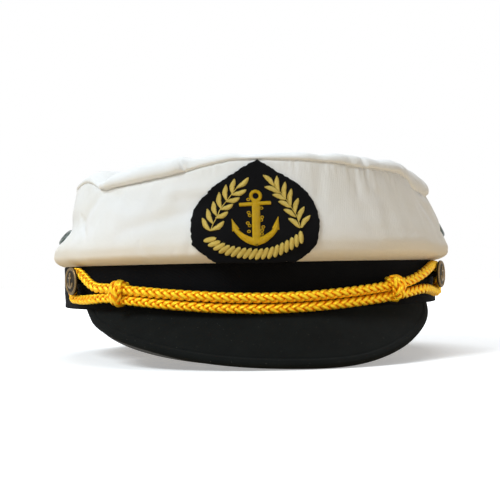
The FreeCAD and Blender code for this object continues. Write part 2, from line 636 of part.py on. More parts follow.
def strand_path(side):
    """One strand, from behind the left post to behind the right one; side is 1 above, -1 below."""
    centre, bend, half = strand_arc()
    lift = side * STRAND_SPACING / 2

    def on_arc(angle):
        return cord_frame(Vec(bend * sin(angle), centre - bend * cos(angle), lift))

    end = on_arc(half)
    leaving = cord_frame(Vec(bend * sin(half) + LEG_END * cos(half),
                             centre - bend * cos(half) + LEG_END * sin(half), lift))
    axis = button_axis()
    rearward = Vec(-axis.y, axis.x, 0)
    middle = side_point(BUTTON_ANGLE, LOOP_STANDOFF, BUTTON_HEIGHT - LOOP_DROP)
    rear = middle + rearward * LOOP_RADIUS
    crest = middle + Vec(0, 0, side * LOOP_RADIUS)
    shoulder = middle + (rearward + Vec(0, 0, side)).normalize() * LOOP_RADIUS
    leg = [end, leaving, crest - rearward * LEG_START, crest]

    def left(point):
        return Vec(-point.x, point.y, point.z)

    edges = [arc(left(rear), left(shoulder), left(crest))]
    edges += rounded_path([left(point) for point in reversed(leg)])
    edges.append(arc(left(end), on_arc(0), end))
    edges += rounded_path(leg)
    edges.append(arc(crest, shoulder, rear))
    return Part.Wire(edges)


def make_strand(name, side):
    path = strand_path(side)
    first = path.Edges[0]
    section = Part.Wire(Part.makeCircle(CORD_RADIUS, first.valueAt(first.FirstParameter), Vec(0, 0, 1)))
    tube = path.makePipe(Part.Face(section))
    ratio = tube.Volume / (path.Length * pi * CORD_RADIUS ** 2)
    print(name, "length %.1f" % path.Length, "volume ratio %.4f" % ratio)
    save(name, tube)


# ---- knots --------------------------------------------------------------------------------------

def stadium(half_height, near, far):
    """A closed outline round the strands, with round ends; near and far are from the arc's centre."""
    radius = (far - near) / 2
    middle, straight = (near + far) / 2, half_height - radius
    corner = [Vec(0, -y, z) for y, z in ((near, straight), (far, straight), (far, -straight), (near, -straight))]
    return [arc(corner[0], Vec(0, -middle, half_height), corner[1]), Part.makeLine(corner[1], corner[2]),
            arc(corner[2], Vec(0, -middle, -half_height), corner[3]), Part.makeLine(corner[3], corner[0])]


def make_knots():
    """One knot, drawn in the middle of the front about the slide axis, then turned to each side's place."""
    centre, bend, _ = strand_arc()
    turn_radius = KNOT_TURN_DIAMETER / 2
    hole = CORD_RADIUS + KNOT_CLEARANCE
    near = bend - hole - KNOT_BACK + turn_radius
    far = bend + hole + KNOT_FRONT - turn_radius
    turns = []
    for place in (-1, 0, 1):
        path = Part.Wire(stadium(KNOT_HEIGHT / 2 - turn_radius, near, far))
        middle = path.Edges[1].valueAt(path.Edges[1].FirstParameter)
        ring = path.makePipe(Part.Face(Part.Wire(Part.makeCircle(turn_radius, middle, Vec(0, 0, 1)))))
        ring.rotate(Vec(0, -bend, 0), Vec(0, 1, 0), place * KNOT_LEAN)
        ring.translate(Vec(place * KNOT_PITCH, 0, 0))
        turns.append(ring)
    slot_face = Part.Face(Part.Wire(stadium(STRAND_SPACING / 2 + hole, bend - hole, bend + hole)))
    slot = slot_face.revolve(Vec(0, 0, 0), Vec(0, 0, 1), KNOT_SLOT)
    slot.rotate(Vec(0, 0, 0), Vec(0, 0, 1), -KNOT_SLOT / 2)
    whole = fuse_all(turns).cut(slot)
    for name, angle in (("knot_right", RIGHT_KNOT_ANGLE), ("knot_left", LEFT_KNOT_ANGLE)):
        knot = whole.copy()
        knot.rotate(Vec(0, 0, 0), Vec(0, 0, 1), angle)
        knot.translate(Vec(0, centre, 0))
        knot.rotate(Vec(0, 0, 0), Vec(1, 0, 0), cord_tilt())
        knot.translate(cord_frame(Vec(0, 0, 0)))
        save(name, mirror(knot) if name == "knot_left" else knot)


def print_joints():
    """Where the joints go in the record, in metres."""
    pivot = side_point(BUTTON_ANGLE, LOOP_STANDOFF, BUTTON_HEIGHT)
    post = side_point(BUTTON_ANGLE, 0, BUTTON_HEIGHT)
    slide = cord_frame(Vec(0, strand_arc()[0], 0))
    normal = cord_frame(Vec(0, 0, 1)) - cord_frame(Vec(0, 0, 0))
    for name, vector in (("lift pivot", pivot * 0.001), ("post", post * 0.001), ("post axis", button_axis()),
                         ("slide centre", slide * 0.001), ("slide axis", normal)):
        print(name, [round(value, 6) for value in vector])
    inner = BAND_CLOTH + STIFFENER + NUT_SPACE + SWEATBAND
    print("head opening half sizes", BAND_HALF_WIDTH - inner, BAND_HALF_LENGTH - inner)


os.makedirs("parts", exist_ok=True)
make_band()
make_visor()
make_crown()
make_eyelets()
make_badge()
make_buttons()
make_strand("cord_upper", 1)
make_strand("cord_lower", -1)
make_knots()
print_joints()
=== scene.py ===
"""Yachting captain's cap: padded white crown, black band and visor, embroidered badge, braided gold chin cord."""
import bmesh
import bpy
import numpy as np
from functools import partial
from math import asin, cos, pi, radians, sin, tan
from mathutils import Matrix, Vector
from mathutils.bvhtree import BVHTree
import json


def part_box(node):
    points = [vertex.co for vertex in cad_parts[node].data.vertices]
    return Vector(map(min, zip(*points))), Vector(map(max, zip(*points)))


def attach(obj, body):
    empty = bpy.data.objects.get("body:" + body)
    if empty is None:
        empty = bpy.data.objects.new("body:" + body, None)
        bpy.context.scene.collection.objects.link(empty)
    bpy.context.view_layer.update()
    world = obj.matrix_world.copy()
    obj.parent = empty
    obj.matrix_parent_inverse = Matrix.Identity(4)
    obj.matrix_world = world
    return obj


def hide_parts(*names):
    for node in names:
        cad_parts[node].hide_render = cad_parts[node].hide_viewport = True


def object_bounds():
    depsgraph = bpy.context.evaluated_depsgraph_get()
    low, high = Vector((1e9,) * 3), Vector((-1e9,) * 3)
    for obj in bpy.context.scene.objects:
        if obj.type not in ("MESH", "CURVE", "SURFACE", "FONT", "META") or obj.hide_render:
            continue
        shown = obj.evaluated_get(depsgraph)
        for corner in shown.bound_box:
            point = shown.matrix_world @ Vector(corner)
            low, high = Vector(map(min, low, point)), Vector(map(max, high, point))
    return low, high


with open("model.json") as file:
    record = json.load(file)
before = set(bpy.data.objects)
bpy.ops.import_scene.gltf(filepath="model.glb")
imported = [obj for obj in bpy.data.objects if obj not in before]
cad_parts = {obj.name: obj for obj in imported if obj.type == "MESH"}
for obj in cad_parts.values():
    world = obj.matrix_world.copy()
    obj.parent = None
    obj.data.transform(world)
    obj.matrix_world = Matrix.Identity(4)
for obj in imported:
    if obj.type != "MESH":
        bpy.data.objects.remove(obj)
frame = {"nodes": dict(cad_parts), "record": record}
cad_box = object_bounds()
MM = 0.001

# ---- sizes of the cap, in millimetres -----------------------------------------------------------
BAND_HALF_WIDTH, BAND_HALF_LENGTH, END_RADIUS, BAND_HEIGHT = 89.0, 101.0, 84.0, 18.8
END_CENTRE = BAND_HALF_LENGTH - END_RADIUS
SIDE_RADIUS = (BAND_HALF_WIDTH ** 2 + END_CENTRE ** 2 - END_RADIUS ** 2) / (2 * (BAND_HALF_WIDTH - END_RADIUS))
SIDE_CENTRE = SIDE_RADIUS - BAND_HALF_WIDTH
END_TURN = asin(SIDE_CENTRE / (SIDE_RADIUS - END_RADIUS))
WALL_HEIGHTS = [0.0, 2.0, 6.2, 12.5, 21.5, 29.5, 37.6]
WALL_OFFSETS = [0.0, 4.4, 6.1, 4.4, 0.9, -1.8, -4.4]
SIDE_HEIGHT, TOP_OFFSET = WALL_HEIGHTS[-1], WALL_OFFSETS[-1]
CROWN_TILT = tan(radians(3.3))


# ---- helpers: meshes and node trees -------------------------------------------------------------

def show(name, data):
    """A new object in the scene."""
    shown = bpy.data.objects.new(name, data)
    bpy.context.scene.collection.objects.link(shown)
    return shown


def new_piece(name, points, faces, material=None, smooth=True):
    """A mesh object from points in millimetres."""
    mesh = bpy.data.meshes.new(name)
    mesh.from_pydata((np.asarray(points, dtype=float) * MM).tolist(), [], [list(face) for face in faces])
    mesh.update()
    mesh.shade_smooth() if smooth else mesh.shade_flat()
    if material:
        mesh.materials.append(material)
    return show(name, mesh)


def facing_out(piece):
    """The piece with its faces turned outward."""
    shape = bmesh.new()
    shape.from_mesh(piece.data)
    bmesh.ops.recalc_face_normals(shape, faces=shape.faces)
    shape.to_mesh(piece.data)
    shape.free()
    return piece


def swept(name, loops, material, ring):
    """A closed solid through loops of points; ring joins the last loop to the first, else both ends are capped."""
    count, corners = loops.shape[:2]
    faces = ring_faces(count, corners, closed=ring)
    if not ring:
        faces += [tuple(range(corners)), tuple((count - 1) * corners + k for k in range(corners))]
    return facing_out(new_piece(name, loops.reshape(-1, 3), faces, material))


def bowl(name, outer, inner, outer_tip, inner_tip, material):
    """A closed shell from rings of points outside and inside, both from the open edge to the middle."""
    columns, start = outer.shape[1], outer.shape[0] * outer.shape[1] + 1
    points = np.concatenate([outer.reshape(-1, 3), [outer_tip], inner.reshape(-1, 3), [inner_tip]])
    tip, end = start - 1, len(points) - 1
    turn = [(c, (c + 1) % columns) for c in range(columns)]
    faces = ring_faces(len(outer), columns) + [face[::-1] for face in ring_faces(len(inner), columns, start)]
    faces += [(tip - columns + a, tip - columns + b, tip) for a, b in turn]
    faces += [(end - columns + b, end - columns + a, end) for a, b in turn]
    faces += [(b, a, start + a, start + b) for a, b in turn]
    return new_piece(name, points, faces, material)


def ring_faces(rows, columns, first=0, closed=False):
    """Quads of a grid whose columns close on themselves; so do its rows if it is closed."""
    return [(first + r * columns + c, first + r * columns + (c + 1) % columns,
             first + (r + 1) % rows * columns + (c + 1) % columns, first + (r + 1) % rows * columns + c)
            for r in range(rows if closed else rows - 1) for c in range(columns)]


def add(tree, kind, *values, **settings):
    """A node; settings are its properties, values go to its usable inputs in order."""
    node = tree.nodes.new(kind)
    for name, value in settings.items():
        setattr(node, name, value)
    for socket, value in zip([s for s in node.inputs if s.enabled], values):
        if isinstance(value, bpy.types.NodeSocket):
            tree.links.new(value, socket)
        elif value is not None:
            socket.default_value = value
    return node


def calc(tree, operation, *values):
    """The result of one sum on numbers."""
    return add(tree, "ShaderNodeMath", *values, operation=operation).outputs[0]


def sums(tree, *operations):
    """Short functions for the sums that a tree uses often."""
    return [partial(calc, tree, operation) for operation in operations]


def first_usable(sockets):
    """The first socket that the node's settings leave in use."""
    return next(socket for socket in sockets if socket.enabled)


def vector(tree, operation, *values):
    """The result of one sum on vectors."""
    node = add(tree, "ShaderNodeVectorMath", *values, operation=operation)
    return node.outputs["Value" if operation in ("DOT_PRODUCT", "LENGTH") else "Vector"]


def scaled(tree, direction, amount):
    """A vector made so many times as long."""
    return vector(tree, "SCALE", direction, amount)


def new_tree(name, **inputs):
    """A Geometry Nodes tree with named inputs, each a size or else the type of thing that it takes."""
    tree = bpy.data.node_groups.new(name, "GeometryNodeTree")
    tree.interface.new_socket("Geometry", in_out="OUTPUT", socket_type="NodeSocketGeometry")
    tree.interface.new_socket("Geometry", in_out="INPUT", socket_type="NodeSocketGeometry")
    things = {bpy.types.Material: "NodeSocketMaterial", bpy.types.Object: "NodeSocketObject"}
    for label, value in inputs.items():
        socket = tree.interface.new_socket(label, in_out="INPUT", socket_type=things.get(value, "NodeSocketFloat"))
        if value not in things:
            socket.default_value = value
    start = tree.nodes.new("NodeGroupInput")
    return tree, {socket.name: socket for socket in start.outputs}


def close_tree(tree, geometry, material):
    """Ends the tree: real geometry, smooth faces and the material."""
    smooth = add(tree, "GeometryNodeSetShadeSmooth", geometry)
    real = add(tree, "GeometryNodeRealizeInstances", smooth.outputs[0])
    painted = add(tree, "GeometryNodeSetMaterial", real.outputs[0], None, material)
    end = tree.nodes.new("NodeGroupOutput")
    tree.links.new(painted.outputs[0], end.inputs[0])
    return tree


def stored(tree, geometry, label, value, kind="FLOAT"):
    """Geometry whose points carry a value under a name."""
    return add(tree, "GeometryNodeStoreNamedAttribute", geometry, None, label, value, data_type=kind,
               domain="POINT").outputs[0]


def carried(tree, label, kind="FLOAT"):
    """The value that points carry under a name."""
    return first_usable(add(tree, "GeometryNodeInputNamedAttribute", label, data_type=kind).outputs)


def facing(tree, curve, normal):
    """A curve whose flat yarn will face along a direction."""
    return add(tree, "GeometryNodeSetCurveNormal", curve, None, normal, mode="FREE").outputs[0]


def grow(name, tree, base, **values):
    """The plain mesh object that a tree makes from a base object; the base is used up."""
    modifier = base.modifiers.new(tree.name, "NODES")
    modifier.node_group = tree
    for socket in tree.interface.items_tree:
        if socket.item_type == "SOCKET" and socket.in_out == "INPUT" and socket.name in values:
            modifier[socket.identifier] = values[socket.name]
    graph = bpy.context.evaluated_depsgraph_get()
    mesh = bpy.data.meshes.new_from_object(base.evaluated_get(graph), preserve_all_data_layers=True, depsgraph=graph)
    base.modifiers.remove(modifier)
    bpy.data.objects.remove(base)
    mesh.name = name
    return show(name, mesh)


def line_piece(name, lines):
    """An object of bare polylines, in millimetres, for a tree to work on."""
    points, edges = [], []
    for line in lines:
        first = len(points)
        points += [tuple(float(v) * MM for v in point) for point in line]
        edges += [(first + k, first + k + 1) for k in range(len(line) - 1)]
    mesh = bpy.data.meshes.new(name)
    mesh.from_pydata(points, edges, [])
    return show(name, mesh)


# ---- materials ----------------------------------------------------------------------------------

def new_material(name, colour, roughness, **sockets):
    """A material, its tree and its shader; the sockets are set by name with _ for a space."""
    material = bpy.data.materials.new(name)
    material.use_nodes = True
    tree = material.node_tree
    shader = tree.nodes["Principled BSDF"]
    shader.inputs["Base Color"].default_value = (*colour, 1)
    shader.inputs["Roughness"].default_value = roughness
    for label, value in sockets.items():
        shader.inputs[label.replace("_", " ")].default_value = value
    return material, tree, shader


def place(tree, size, turn=(0, 0, 0)):
    """Object coordinates in steps of so many millimetres, the same or one for each axis."""
    coordinates = add(tree, "ShaderNodeTexCoord").outputs["Object"]
    node = add(tree, "ShaderNodeMapping", coordinates, vector_type="POINT")
    node.inputs["Scale"].default_value = [float(1000 / step) for step in np.broadcast_to(size, 3)]
    node.inputs["Rotation"].default_value = turn
    return node.outputs[0]


def noise(tree, size, detail=3.0, roughness=0.5):
    """Soft random values with spots of about so many millimetres."""
    return add(tree, "ShaderNodeTexNoise", place(tree, size), 1.0, detail, roughness).outputs[0]


def ramp(tree, factor, *stops):
    """Colours, or greys, along a factor."""
    node = add(tree, "ShaderNodeValToRGB", factor)
    elements = node.color_ramp.elements
    while len(elements) < len(stops):
        elements.new(0.5)
    for element, (position, colour) in zip(elements, stops):
        element.position = position
        element.color = (*colour, 1) if isinstance(colour, tuple) else (colour, colour, colour, 1)
    return node.outputs[0]


def paint(tree, shader, factor, *stops):
    """Colours the shader along a factor."""
    tree.links.new(ramp(tree, factor, *stops), shader.inputs["Base Color"])


def blend_colours(tree, factor, *colours):
    """A colour between two."""
    colours = [(*colour, 1) if isinstance(colour, tuple) else colour for colour in colours]
    return first_usable(add(tree, "ShaderNodeMix", factor, *colours, data_type="RGBA").outputs)


def fade(tree, value, start, end, first, last):
    """From first to last, smoothly, as the value goes from start to end."""
    return add(tree, "ShaderNodeMapRange", value, start, end, first, last,
               interpolation_type="SMOOTHSTEP").outputs[0]


def bump(tree, shader, height, depth, before=None):
    """Relief of so many millimetres, over the relief before it."""
    node = add(tree, "ShaderNodeBump", 1.0, depth * MM)
    tree.links.new(height, node.inputs["Height"])
    if before:
        tree.links.new(before, node.inputs["Normal"])
    tree.links.new(node.outputs[0], shader.inputs["Normal"])
    return node.outputs[0]


def bands(tree, pitch, direction, distortion, detail, turn=(0, 0, 0)):
    """Soft bands about so many millimetres apart; the texture's own lie pi / 10 apart."""
    return add(tree, "ShaderNodeTexWave", place(tree, pitch * pi, turn), 1.0, distortion, detail, wave_type="BANDS",
               bands_direction=direction, wave_profile="SIN").outputs["Fac"]


def cells(tree, size, feature):
    """Distances in a pattern of cells so many millimetres wide."""
    return add(tree, "ShaderNodeTexVoronoi", place(tree, size), 1.0, feature=feature).outputs["Distance"]


def weave(tree, pitch, turn):
    """Two crossing sets of threads, a value from 0 to 1."""
    return calc(tree, "MULTIPLY", *(bands(tree, pitch, direction, 0.6, 1.0, turn) for direction in "XZ"))


# painted warm bounce light on the cotton towards the band: its tint, and the heights, in metres, over which it fades
PAINTED_BOUNCE_TINT = (0.80, 0.745, 0.66)
PAINTED_BOUNCE_FADE = (0.019, 0.036)


def white_cotton():
    """White drill, a little cloudy, with warm bounce light painted on at its foot."""
    material, tree, shader = new_material("white_cotton", (0.86, 0.86, 0.85), 0.9, Sheen_Weight=0.15,
                                          Sheen_Roughness=0.5, Specular_IOR_Level=0.25)
    tone_and_painted_bounce = ramp(tree, noise(tree, 26, 2.0), (0.35, (0.845, 0.84, 0.82)), (0.62, (0.87, 0.87, 0.87)))
    height = add(tree, "ShaderNodeSeparateXYZ", add(tree, "ShaderNodeTexCoord").outputs["Object"]).outputs[2]
    # painted warm bounce light: strongest at the band, fading out above it
    tone_and_painted_bounce = blend_colours(tree, fade(tree, height, *PAINTED_BOUNCE_FADE, 1.0, 0.0), tone_and_painted_bounce, PAINTED_BOUNCE_TINT)
    tree.links.new(tone_and_painted_bounce, shader.inputs["Base Color"])
    soft = bump(tree, shader, noise(tree, 5), 0.25)
    threads = bump(tree, shader, weave(tree, 0.42, (0.2, 0.1, 0.7)), 0.05, soft)
    bump(tree, shader, noise(tree, (0.7, 0.7, 0.5), 2.0), 0.06, threads)
    return material


LINT = (0.20, 0.19, 0.16)


def dark_cloth(name, colour, pitch, fuzz, specks):
    """Black twill or felt, with nap and a few light specks of lint."""
    material, tree, shader = new_material(name, colour, 0.95, Sheen_Weight=0.015, Sheen_Roughness=0.6,
                                          Specular_IOR_Level=0.07)
    base = ramp(tree, noise(tree, 9, 4.0, 0.6), (0.3, colour), (0.75, tuple(c * 1.7 for c in colour)))
    if specks:
        dots = ramp(tree, cells(tree, 2.1, "F1"), (0.035, 1.0), (0.075, 0.0))
        base = blend_colours(tree, calc(tree, "MULTIPLY", dots, specks), base, LINT)
    tree.links.new(base, shader.inputs["Base Color"])
    ribs = bump(tree, shader, bands(tree, pitch, "DIAGONAL", 1.5, 2.0), 0.05)
    bump(tree, shader, noise(tree, 0.5, 4.0, 0.7), fuzz, ribs)
    return material


def attribute(tree, label):
    """A number that the piece's points carry under a name."""
    return add(tree, "ShaderNodeAttribute", attribute_name=label).outputs["Fac"]


def thread(name, deep, middle, bright, lustre=0.0):
    """Glossy yarn whose filaments run along it; side is -1 to 1 across the yarn, along is in metres, and over, -1
    to 1, is how far the yarn lies over its neighbours. Its colour is painted shade (deep) at its sides and under its
    neighbours, and a painted highlight (bright) on its crown."""
    material, tree, shader = new_material(name, bright, 0.23 + lustre * 0.25, Specular_IOR_Level=0.6, Metallic=lustre,
                                          Specular_Tint=(1.0, 0.86, 0.38, 1))
    plus, times = sums(tree, "ADD", "MULTIPLY")
    side, along, over = (attribute(tree, label) for label in ("side", "along", "over"))
    # painted shade at the yarn's sides and where it lies under its neighbours, painted highlight on its crown
    crown = calc(tree, "SUBTRACT", 1.0, calc(tree, "POWER", calc(tree, "ABSOLUTE", side), 2.0))
    filaments = calc(tree, "SINE", plus(times(side, 17.0), times(along, 2400.0)))
    light = plus(plus(times(crown, 0.70), times(noise(tree, 1.6, 2.0), 0.35)), times(over, 0.22))
    paint(tree, shader, light, (0.15, deep), (0.55, middle), (0.98, bright))
    bump(tree, shader, filaments, 0.03)
    return material


def metal(name, colour, dark, roughness, grain):
    """Worn metal, dark in its hollows; worn, from 0 to 1, is where hands have rubbed it bright."""
    material, tree, shader = new_material(name, colour, roughness, Metallic=1.0)
    plus, times = sums(tree, "ADD", "MULTIPLY")
    rubbed = plus(times(attribute(tree, "worn"), 0.75), times(noise(tree, grain, 5.0, 0.65), 0.4))
    paint(tree, shader, rubbed, (0.22, dark), (0.75, colour))
    tree.links.new(ramp(tree, rubbed, (0.2, min(roughness + 0.3, 1.0)), (0.8, roughness)), shader.inputs["Roughness"])
    bump(tree, shader, noise(tree, 0.6), 0.03)
    return material


def enamel():
    """Dark green enamel, a little uneven."""
    material, tree, shader = new_material("green_enamel", (0.02, 0.045, 0.032), 0.35, Coat_Weight=0.3)
    spots = noise(tree, 2)
    paint(tree, shader, spots, (0.35, (0.012, 0.03, 0.022)), (0.7, (0.03, 0.06, 0.045)))
    bump(tree, shader, spots, 0.02)
    return material


def leather():
    """Black leatherette with a pebbled grain."""
    material, tree, shader = new_material("sweatband_leather", (0.03, 0.026, 0.024), 0.55)
    paint(tree, shader, noise(tree, 12), (0.3, (0.022, 0.019, 0.018)), (0.7, (0.045, 0.038, 0.034)))
    bump(tree, shader, ramp(tree, cells(tree, 0.9, "DISTANCE_TO_EDGE"), (0.0, 0.0), (0.12, 1.0)), 0.08)
    return material


def plain_weave(name, colour, pitch, depth):
    """Any plainly woven or pressed stuff of one colour."""
    material, tree, shader = new_material(name, colour, 0.85, Specular_IOR_Level=0.3)
    paint(tree, shader, noise(tree, 15), (0.3, tuple(c * 0.86 for c in colour)), (0.7, colour))
    bump(tree, shader, weave(tree, pitch, (0.1, 0.2, 0.8)), depth)
    return material


COTTON = white_cotton()
BAND_CLOTH = dark_cloth("black_band_twill", (0.0022, 0.0024, 0.0030), 0.7, 0.05, 0)
VISOR_CLOTH = dark_cloth("black_visor_nap", (0.0042, 0.0051, 0.0050), 0.6, 0.12, 0.5)
FELT = dark_cloth("badge_felt", (0.0032, 0.0032, 0.0037), 0.5, 0.14, 0)
# each thread's colours: painted shade, its middle tone, and painted highlight
CORD_YARN = thread("gold_cord_yarn", (0.66, 0.13, 0.0), (1.0, 0.42, 0.001), (1.0, 0.66, 0.02), 0.45)
DEEP_THREAD = thread("deep_gold_thread", (0.26, 0.12, 0.0), (0.66, 0.37, 0.0), (0.95, 0.62, 0.01))
PALE_THREAD = thread("pale_gold_thread", (0.38, 0.20, 0.008), (0.84, 0.56, 0.08), (1.0, 0.84, 0.26))
BLACK_THREAD = thread("black_sewing_thread", (0.004, 0.004, 0.004), (0.012, 0.012, 0.013), (0.02, 0.02, 0.022))
BRASS = metal("antique_brass", (0.20, 0.13, 0.055), (0.018, 0.015, 0.010), 0.36, 1.6)
ENAMEL = enamel()
LEATHER = leather()
LINING = plain_weave("lining_cloth", (0.78, 0.77, 0.73), 0.5, 0.05)
BUCKRAM = plain_weave("buckram", (0.60, 0.58, 0.50), 1.1, 0.12)
BOARD = plain_weave("visor_board", (0.06, 0.06, 0.06), 0.8, 0.05)
FOAM = plain_weave("upholstery_foam", (0.74, 0.71, 0.60), 0.9, 0.15)

FINISHES = {
    BAND_CLOTH: "cap_band",
    BUCKRAM: "band_stiffener front_stay",
    LEATHER: "sweatband",
    BOARD: "visor_board",
    VISOR_CLOTH: "visor_top_cover visor_under_cover",
    COTTON: "crown_front_panel crown_back_panel crown_top_panel",
    FOAM: "crown_foam_side crown_foam_top",
    LINING: "lining_side lining_top",
    FELT: "badge_patch",
    DEEP_THREAD: "badge_anchor",
    PALE_THREAD: "badge_branch_left badge_branch_right badge_thread_bar",
    ENAMEL: "eyelets_left eyelets_right eyelet_washers_left eyelet_washers_right",
    CORD_YARN: "cord_upper cord_lower knot_left knot_right",
    BRASS: "button_face_left button_back_left button_nut_left button_face_right button_back_right button_nut_right",
}
for material, nodes in FINISHES.items():
    for name in nodes.split():
        slots = frame["nodes"][name].data.materials
        slots.clear()
        slots.append(material)


# ---- the band's oval and the crown's surface ----------------------------------------------------

def oval(angle, offset):
    """Plan points of the band's oval moved out by offset; angle in radians from the front towards +X."""
    angle, offset = np.broadcast_arrays(np.asarray(angle, float), np.asarray(offset, float))
    dx, dy = np.sin(angle), -np.cos(angle)

    def reach(cx, cy, radius):    # how far out along each direction a circle is met
        along = dx * cx + dy * cy
        return along + np.sqrt(np.maximum(along ** 2 - cx ** 2 - cy ** 2 + radius ** 2, 0))

    end = reach(0, np.sign(dy) * END_CENTRE, END_RADIUS + offset)
    side = reach(-np.sign(dx) * SIDE_CENTRE, 0, SIDE_RADIUS + offset)
    on_end = np.abs(end * dx) <= tan(END_TURN) * (np.abs(end * dy) - END_CENTRE)
    distance = np.where(on_end, end, side)
    return distance * dx, distance * dy


# how far the top seam lies under its even line, and the roll of the top panel over it: its height, its width
# and how far it hangs out over the seam
SEAM_DROP = [(-180, 0.0), (-120, 0.5), (-100, 0.8), (-90, 1.2), (-80, 1.2), (-70, 1.3), (-63, 2.0), (-57, 3.8),
             (-52, 6.8), (-48, 7.7), (-40, 7.8), (-35, 7.4), (-30, 6.7), (-25, 5.9), (-20, 4.6), (-15, 2.9), (-8, 0.9),
             (0, 1.0), (10, 1.3), (15, 1.7), (20, 2.1), (25, 3.2), (35, 3.4), (42, 3.4), (46, 4.6), (51, 8.2),
             (56, 9.5), (65, 10.0), (72, 9.0), (80, 6.4), (90, 4.0), (105, 1.8), (130, 0.6), (180, 0.0)]
ROLL_HEIGHT = [(-180, 4.5), (-120, 4.8), (-90, 6.0), (-75, 5.8), (-61, 5.5), (-57, 3.8), (-53, 3.0), (-45, 6.7),
               (-35, 8.5), (-24, 7.8), (-20.6, 6.9), (-19.2, 5.0), (-12, 3.9), (-5, 2.5), (0, 2.7), (5, 3.2),
               (10, 3.7), (15, 3.4), (20, 4.7), (25, 5.3), (35, 5.0), (45, 6.4), (51, 9.8), (60, 10.8), (70, 10.2),
               (80, 8.6), (95, 7.4), (120, 5.4), (180, 4.5)]
ROLL_WIDTH = [(-180, 6.0), (-110, 7.0), (-95, 12.5), (-80, 14.0), (-68, 11.5), (-55, 6.5), (-20, 5.6), (40, 5.6),
              (55, 6.5), (65, 6.8), (90, 8.0), (120, 7.0), (180, 6.0)]
ROLL_BULGE = [(-180, 0.9), (-95, 0.6), (-70, 0.5), (-56, 0.4), (-52.5, 0.3), (-50.5, 2.0), (-46, 2.6), (-35, 2.8),
              (-24, 2.5), (-20.6, 2.2), (-19.2, 0.8), (-12, 0.6), (0, 0.5), (15, 0.8), (40, 1.0), (50, 0.8), (62, 0.9),
              (70, 2.1), (80, 2.2), (92, 1.2), (180, 0.9)]
# broad pushes of the wall: degrees, height, half width in degrees, half height, how far out
WALL_PUSHES = [(-86, 17.5, 30, 7.5, -4.6), (-84, 30, 26, 8, -1.8), (-84, 18, 40, 26, -1.4), (-72, 38, 16, 6, -1.4),
               (72, 23, 22, 8, 1.4), (78, 32, 22, 8, 0.7), (-40, 22, 11, 12, 1.7), (-20, 18, 10, 14, -1.3),
               (-34, 24, 12, 8, 0.4), (62, 33, 9, 4, 1.2), (120, 18, 20, 8, -1.6), (158, 20, 14, 9, 0.9),
               (-140, 16, 18, 7, -1.0), (-170, 26, 14, 7, 0.8)]
MM_PER_DEGREE = 1.62              # along the wall
FOOT_HEIGHT = 3.0                 # below this the wall is held by the band, and its folds fade out


def turned_from(degrees, centre):
    """The turn from one place round the cap to another, from -180 to 180."""
    return (degrees - centre + 180) % 360 - 180


# soft creases of the wall: two ends as (degrees, height), half width in mm, how far in
WALL_CREASES = [
    ((-61, 22), (-53, 15), 1.2, 0.8), ((-24, 30), (-9.5, 28), 2.8, -0.5), ((-21, 26), (-9, 24.5), 2.8, 0.5),
    ((-36, 15), (-14, 22), 3.4, 1.0), ((-49, 36), (-58, 20), 2.6, 0.8), ((-50, 36), (-40, 33), 2.0, 0.9),
    ((22.5, 37), (24, 27), 1.5, 0.45), ((27.2, 37), (28.2, 31), 1.3, 0.45), ((25, 37), (26, 29), 1.6, -0.25),
    ((29.6, 37), (30.5, 30), 1.4, -0.35), ((14, 37), (13, 24), 2.6, 0.5), ((34, 37), (36, 32), 1.4, 0.3),
    ((47, 34), (53, 22), 2.8, -0.4), ((52, 33), (60, 20), 3.2, 0.4), ((-30, 9), (-26, 1), 1.4, 0.35),
    ((-22, 8), (-21, 1), 1.0, 0.3), ((-17, 9), (-18, 1), 1.2, 0.3), ((66, 14), (80, 20), 3.0, 0.6),
    ((150, 36), (146, 10), 3.0, 1.0), ((-155, 36), (-148, 12), 3.0, 1.0), ((120, 34), (112, 22), 2.6, 0.8),
    ((-118, 34), (-110, 24), 2.4, 0.7), ((-97, 30), (-86, 26), 2.4, 0.6), ((175, 30), (-172, 10), 3.2, 0.7)]


def round_table(angle, rows):
    """A value that changes smoothly round the cap, from rows of (degrees from the front, value)."""
    degrees = turned_from(np.degrees(angle), 0)
    at, value = zip(*rows)
    return sum(np.interp(turned_from(degrees + shift, 0), at, value) for shift in (-0.9, 0.0, 0.9)) / 3


def crown_normal(angle):
    """The level direction straight out of the crown at its top seam."""
    ahead, behind = oval(angle + 0.01, TOP_OFFSET), oval(angle - 0.01, TOP_OFFSET)
    across = np.stack([ahead[1] - behind[1], behind[0] - ahead[0]], -1)
    return across / np.linalg.norm(across, axis=-1, keepdims=True)


FOOT_SLOPE, TOP_SLOPE = 3.6, -0.33


def smooth_wall_offset(height):
    """The wall's even profile, as a smooth curve through its points."""
    slopes = np.gradient(WALL_OFFSETS, WALL_HEIGHTS)
    slopes[0], slopes[-1] = FOOT_SLOPE, TOP_SLOPE
    index = np.clip(np.searchsorted(WALL_HEIGHTS, height, side="right") - 1, 0, len(WALL_HEIGHTS) - 2)
    low, high = np.take(WALL_HEIGHTS, index), np.take(WALL_HEIGHTS, index + 1)
    t, span = (height - low) / (high - low), high - low
    return ((2 * t ** 3 - 3 * t ** 2 + 1) * np.take(WALL_OFFSETS, index)
            + (t ** 3 - 2 * t ** 2 + t) * span * np.take(slopes, index)
            + (3 * t ** 2 - 2 * t ** 3) * np.take(WALL_OFFSETS, index + 1)
            + (t ** 3 - t ** 2) * span * np.take(slopes, index + 1))


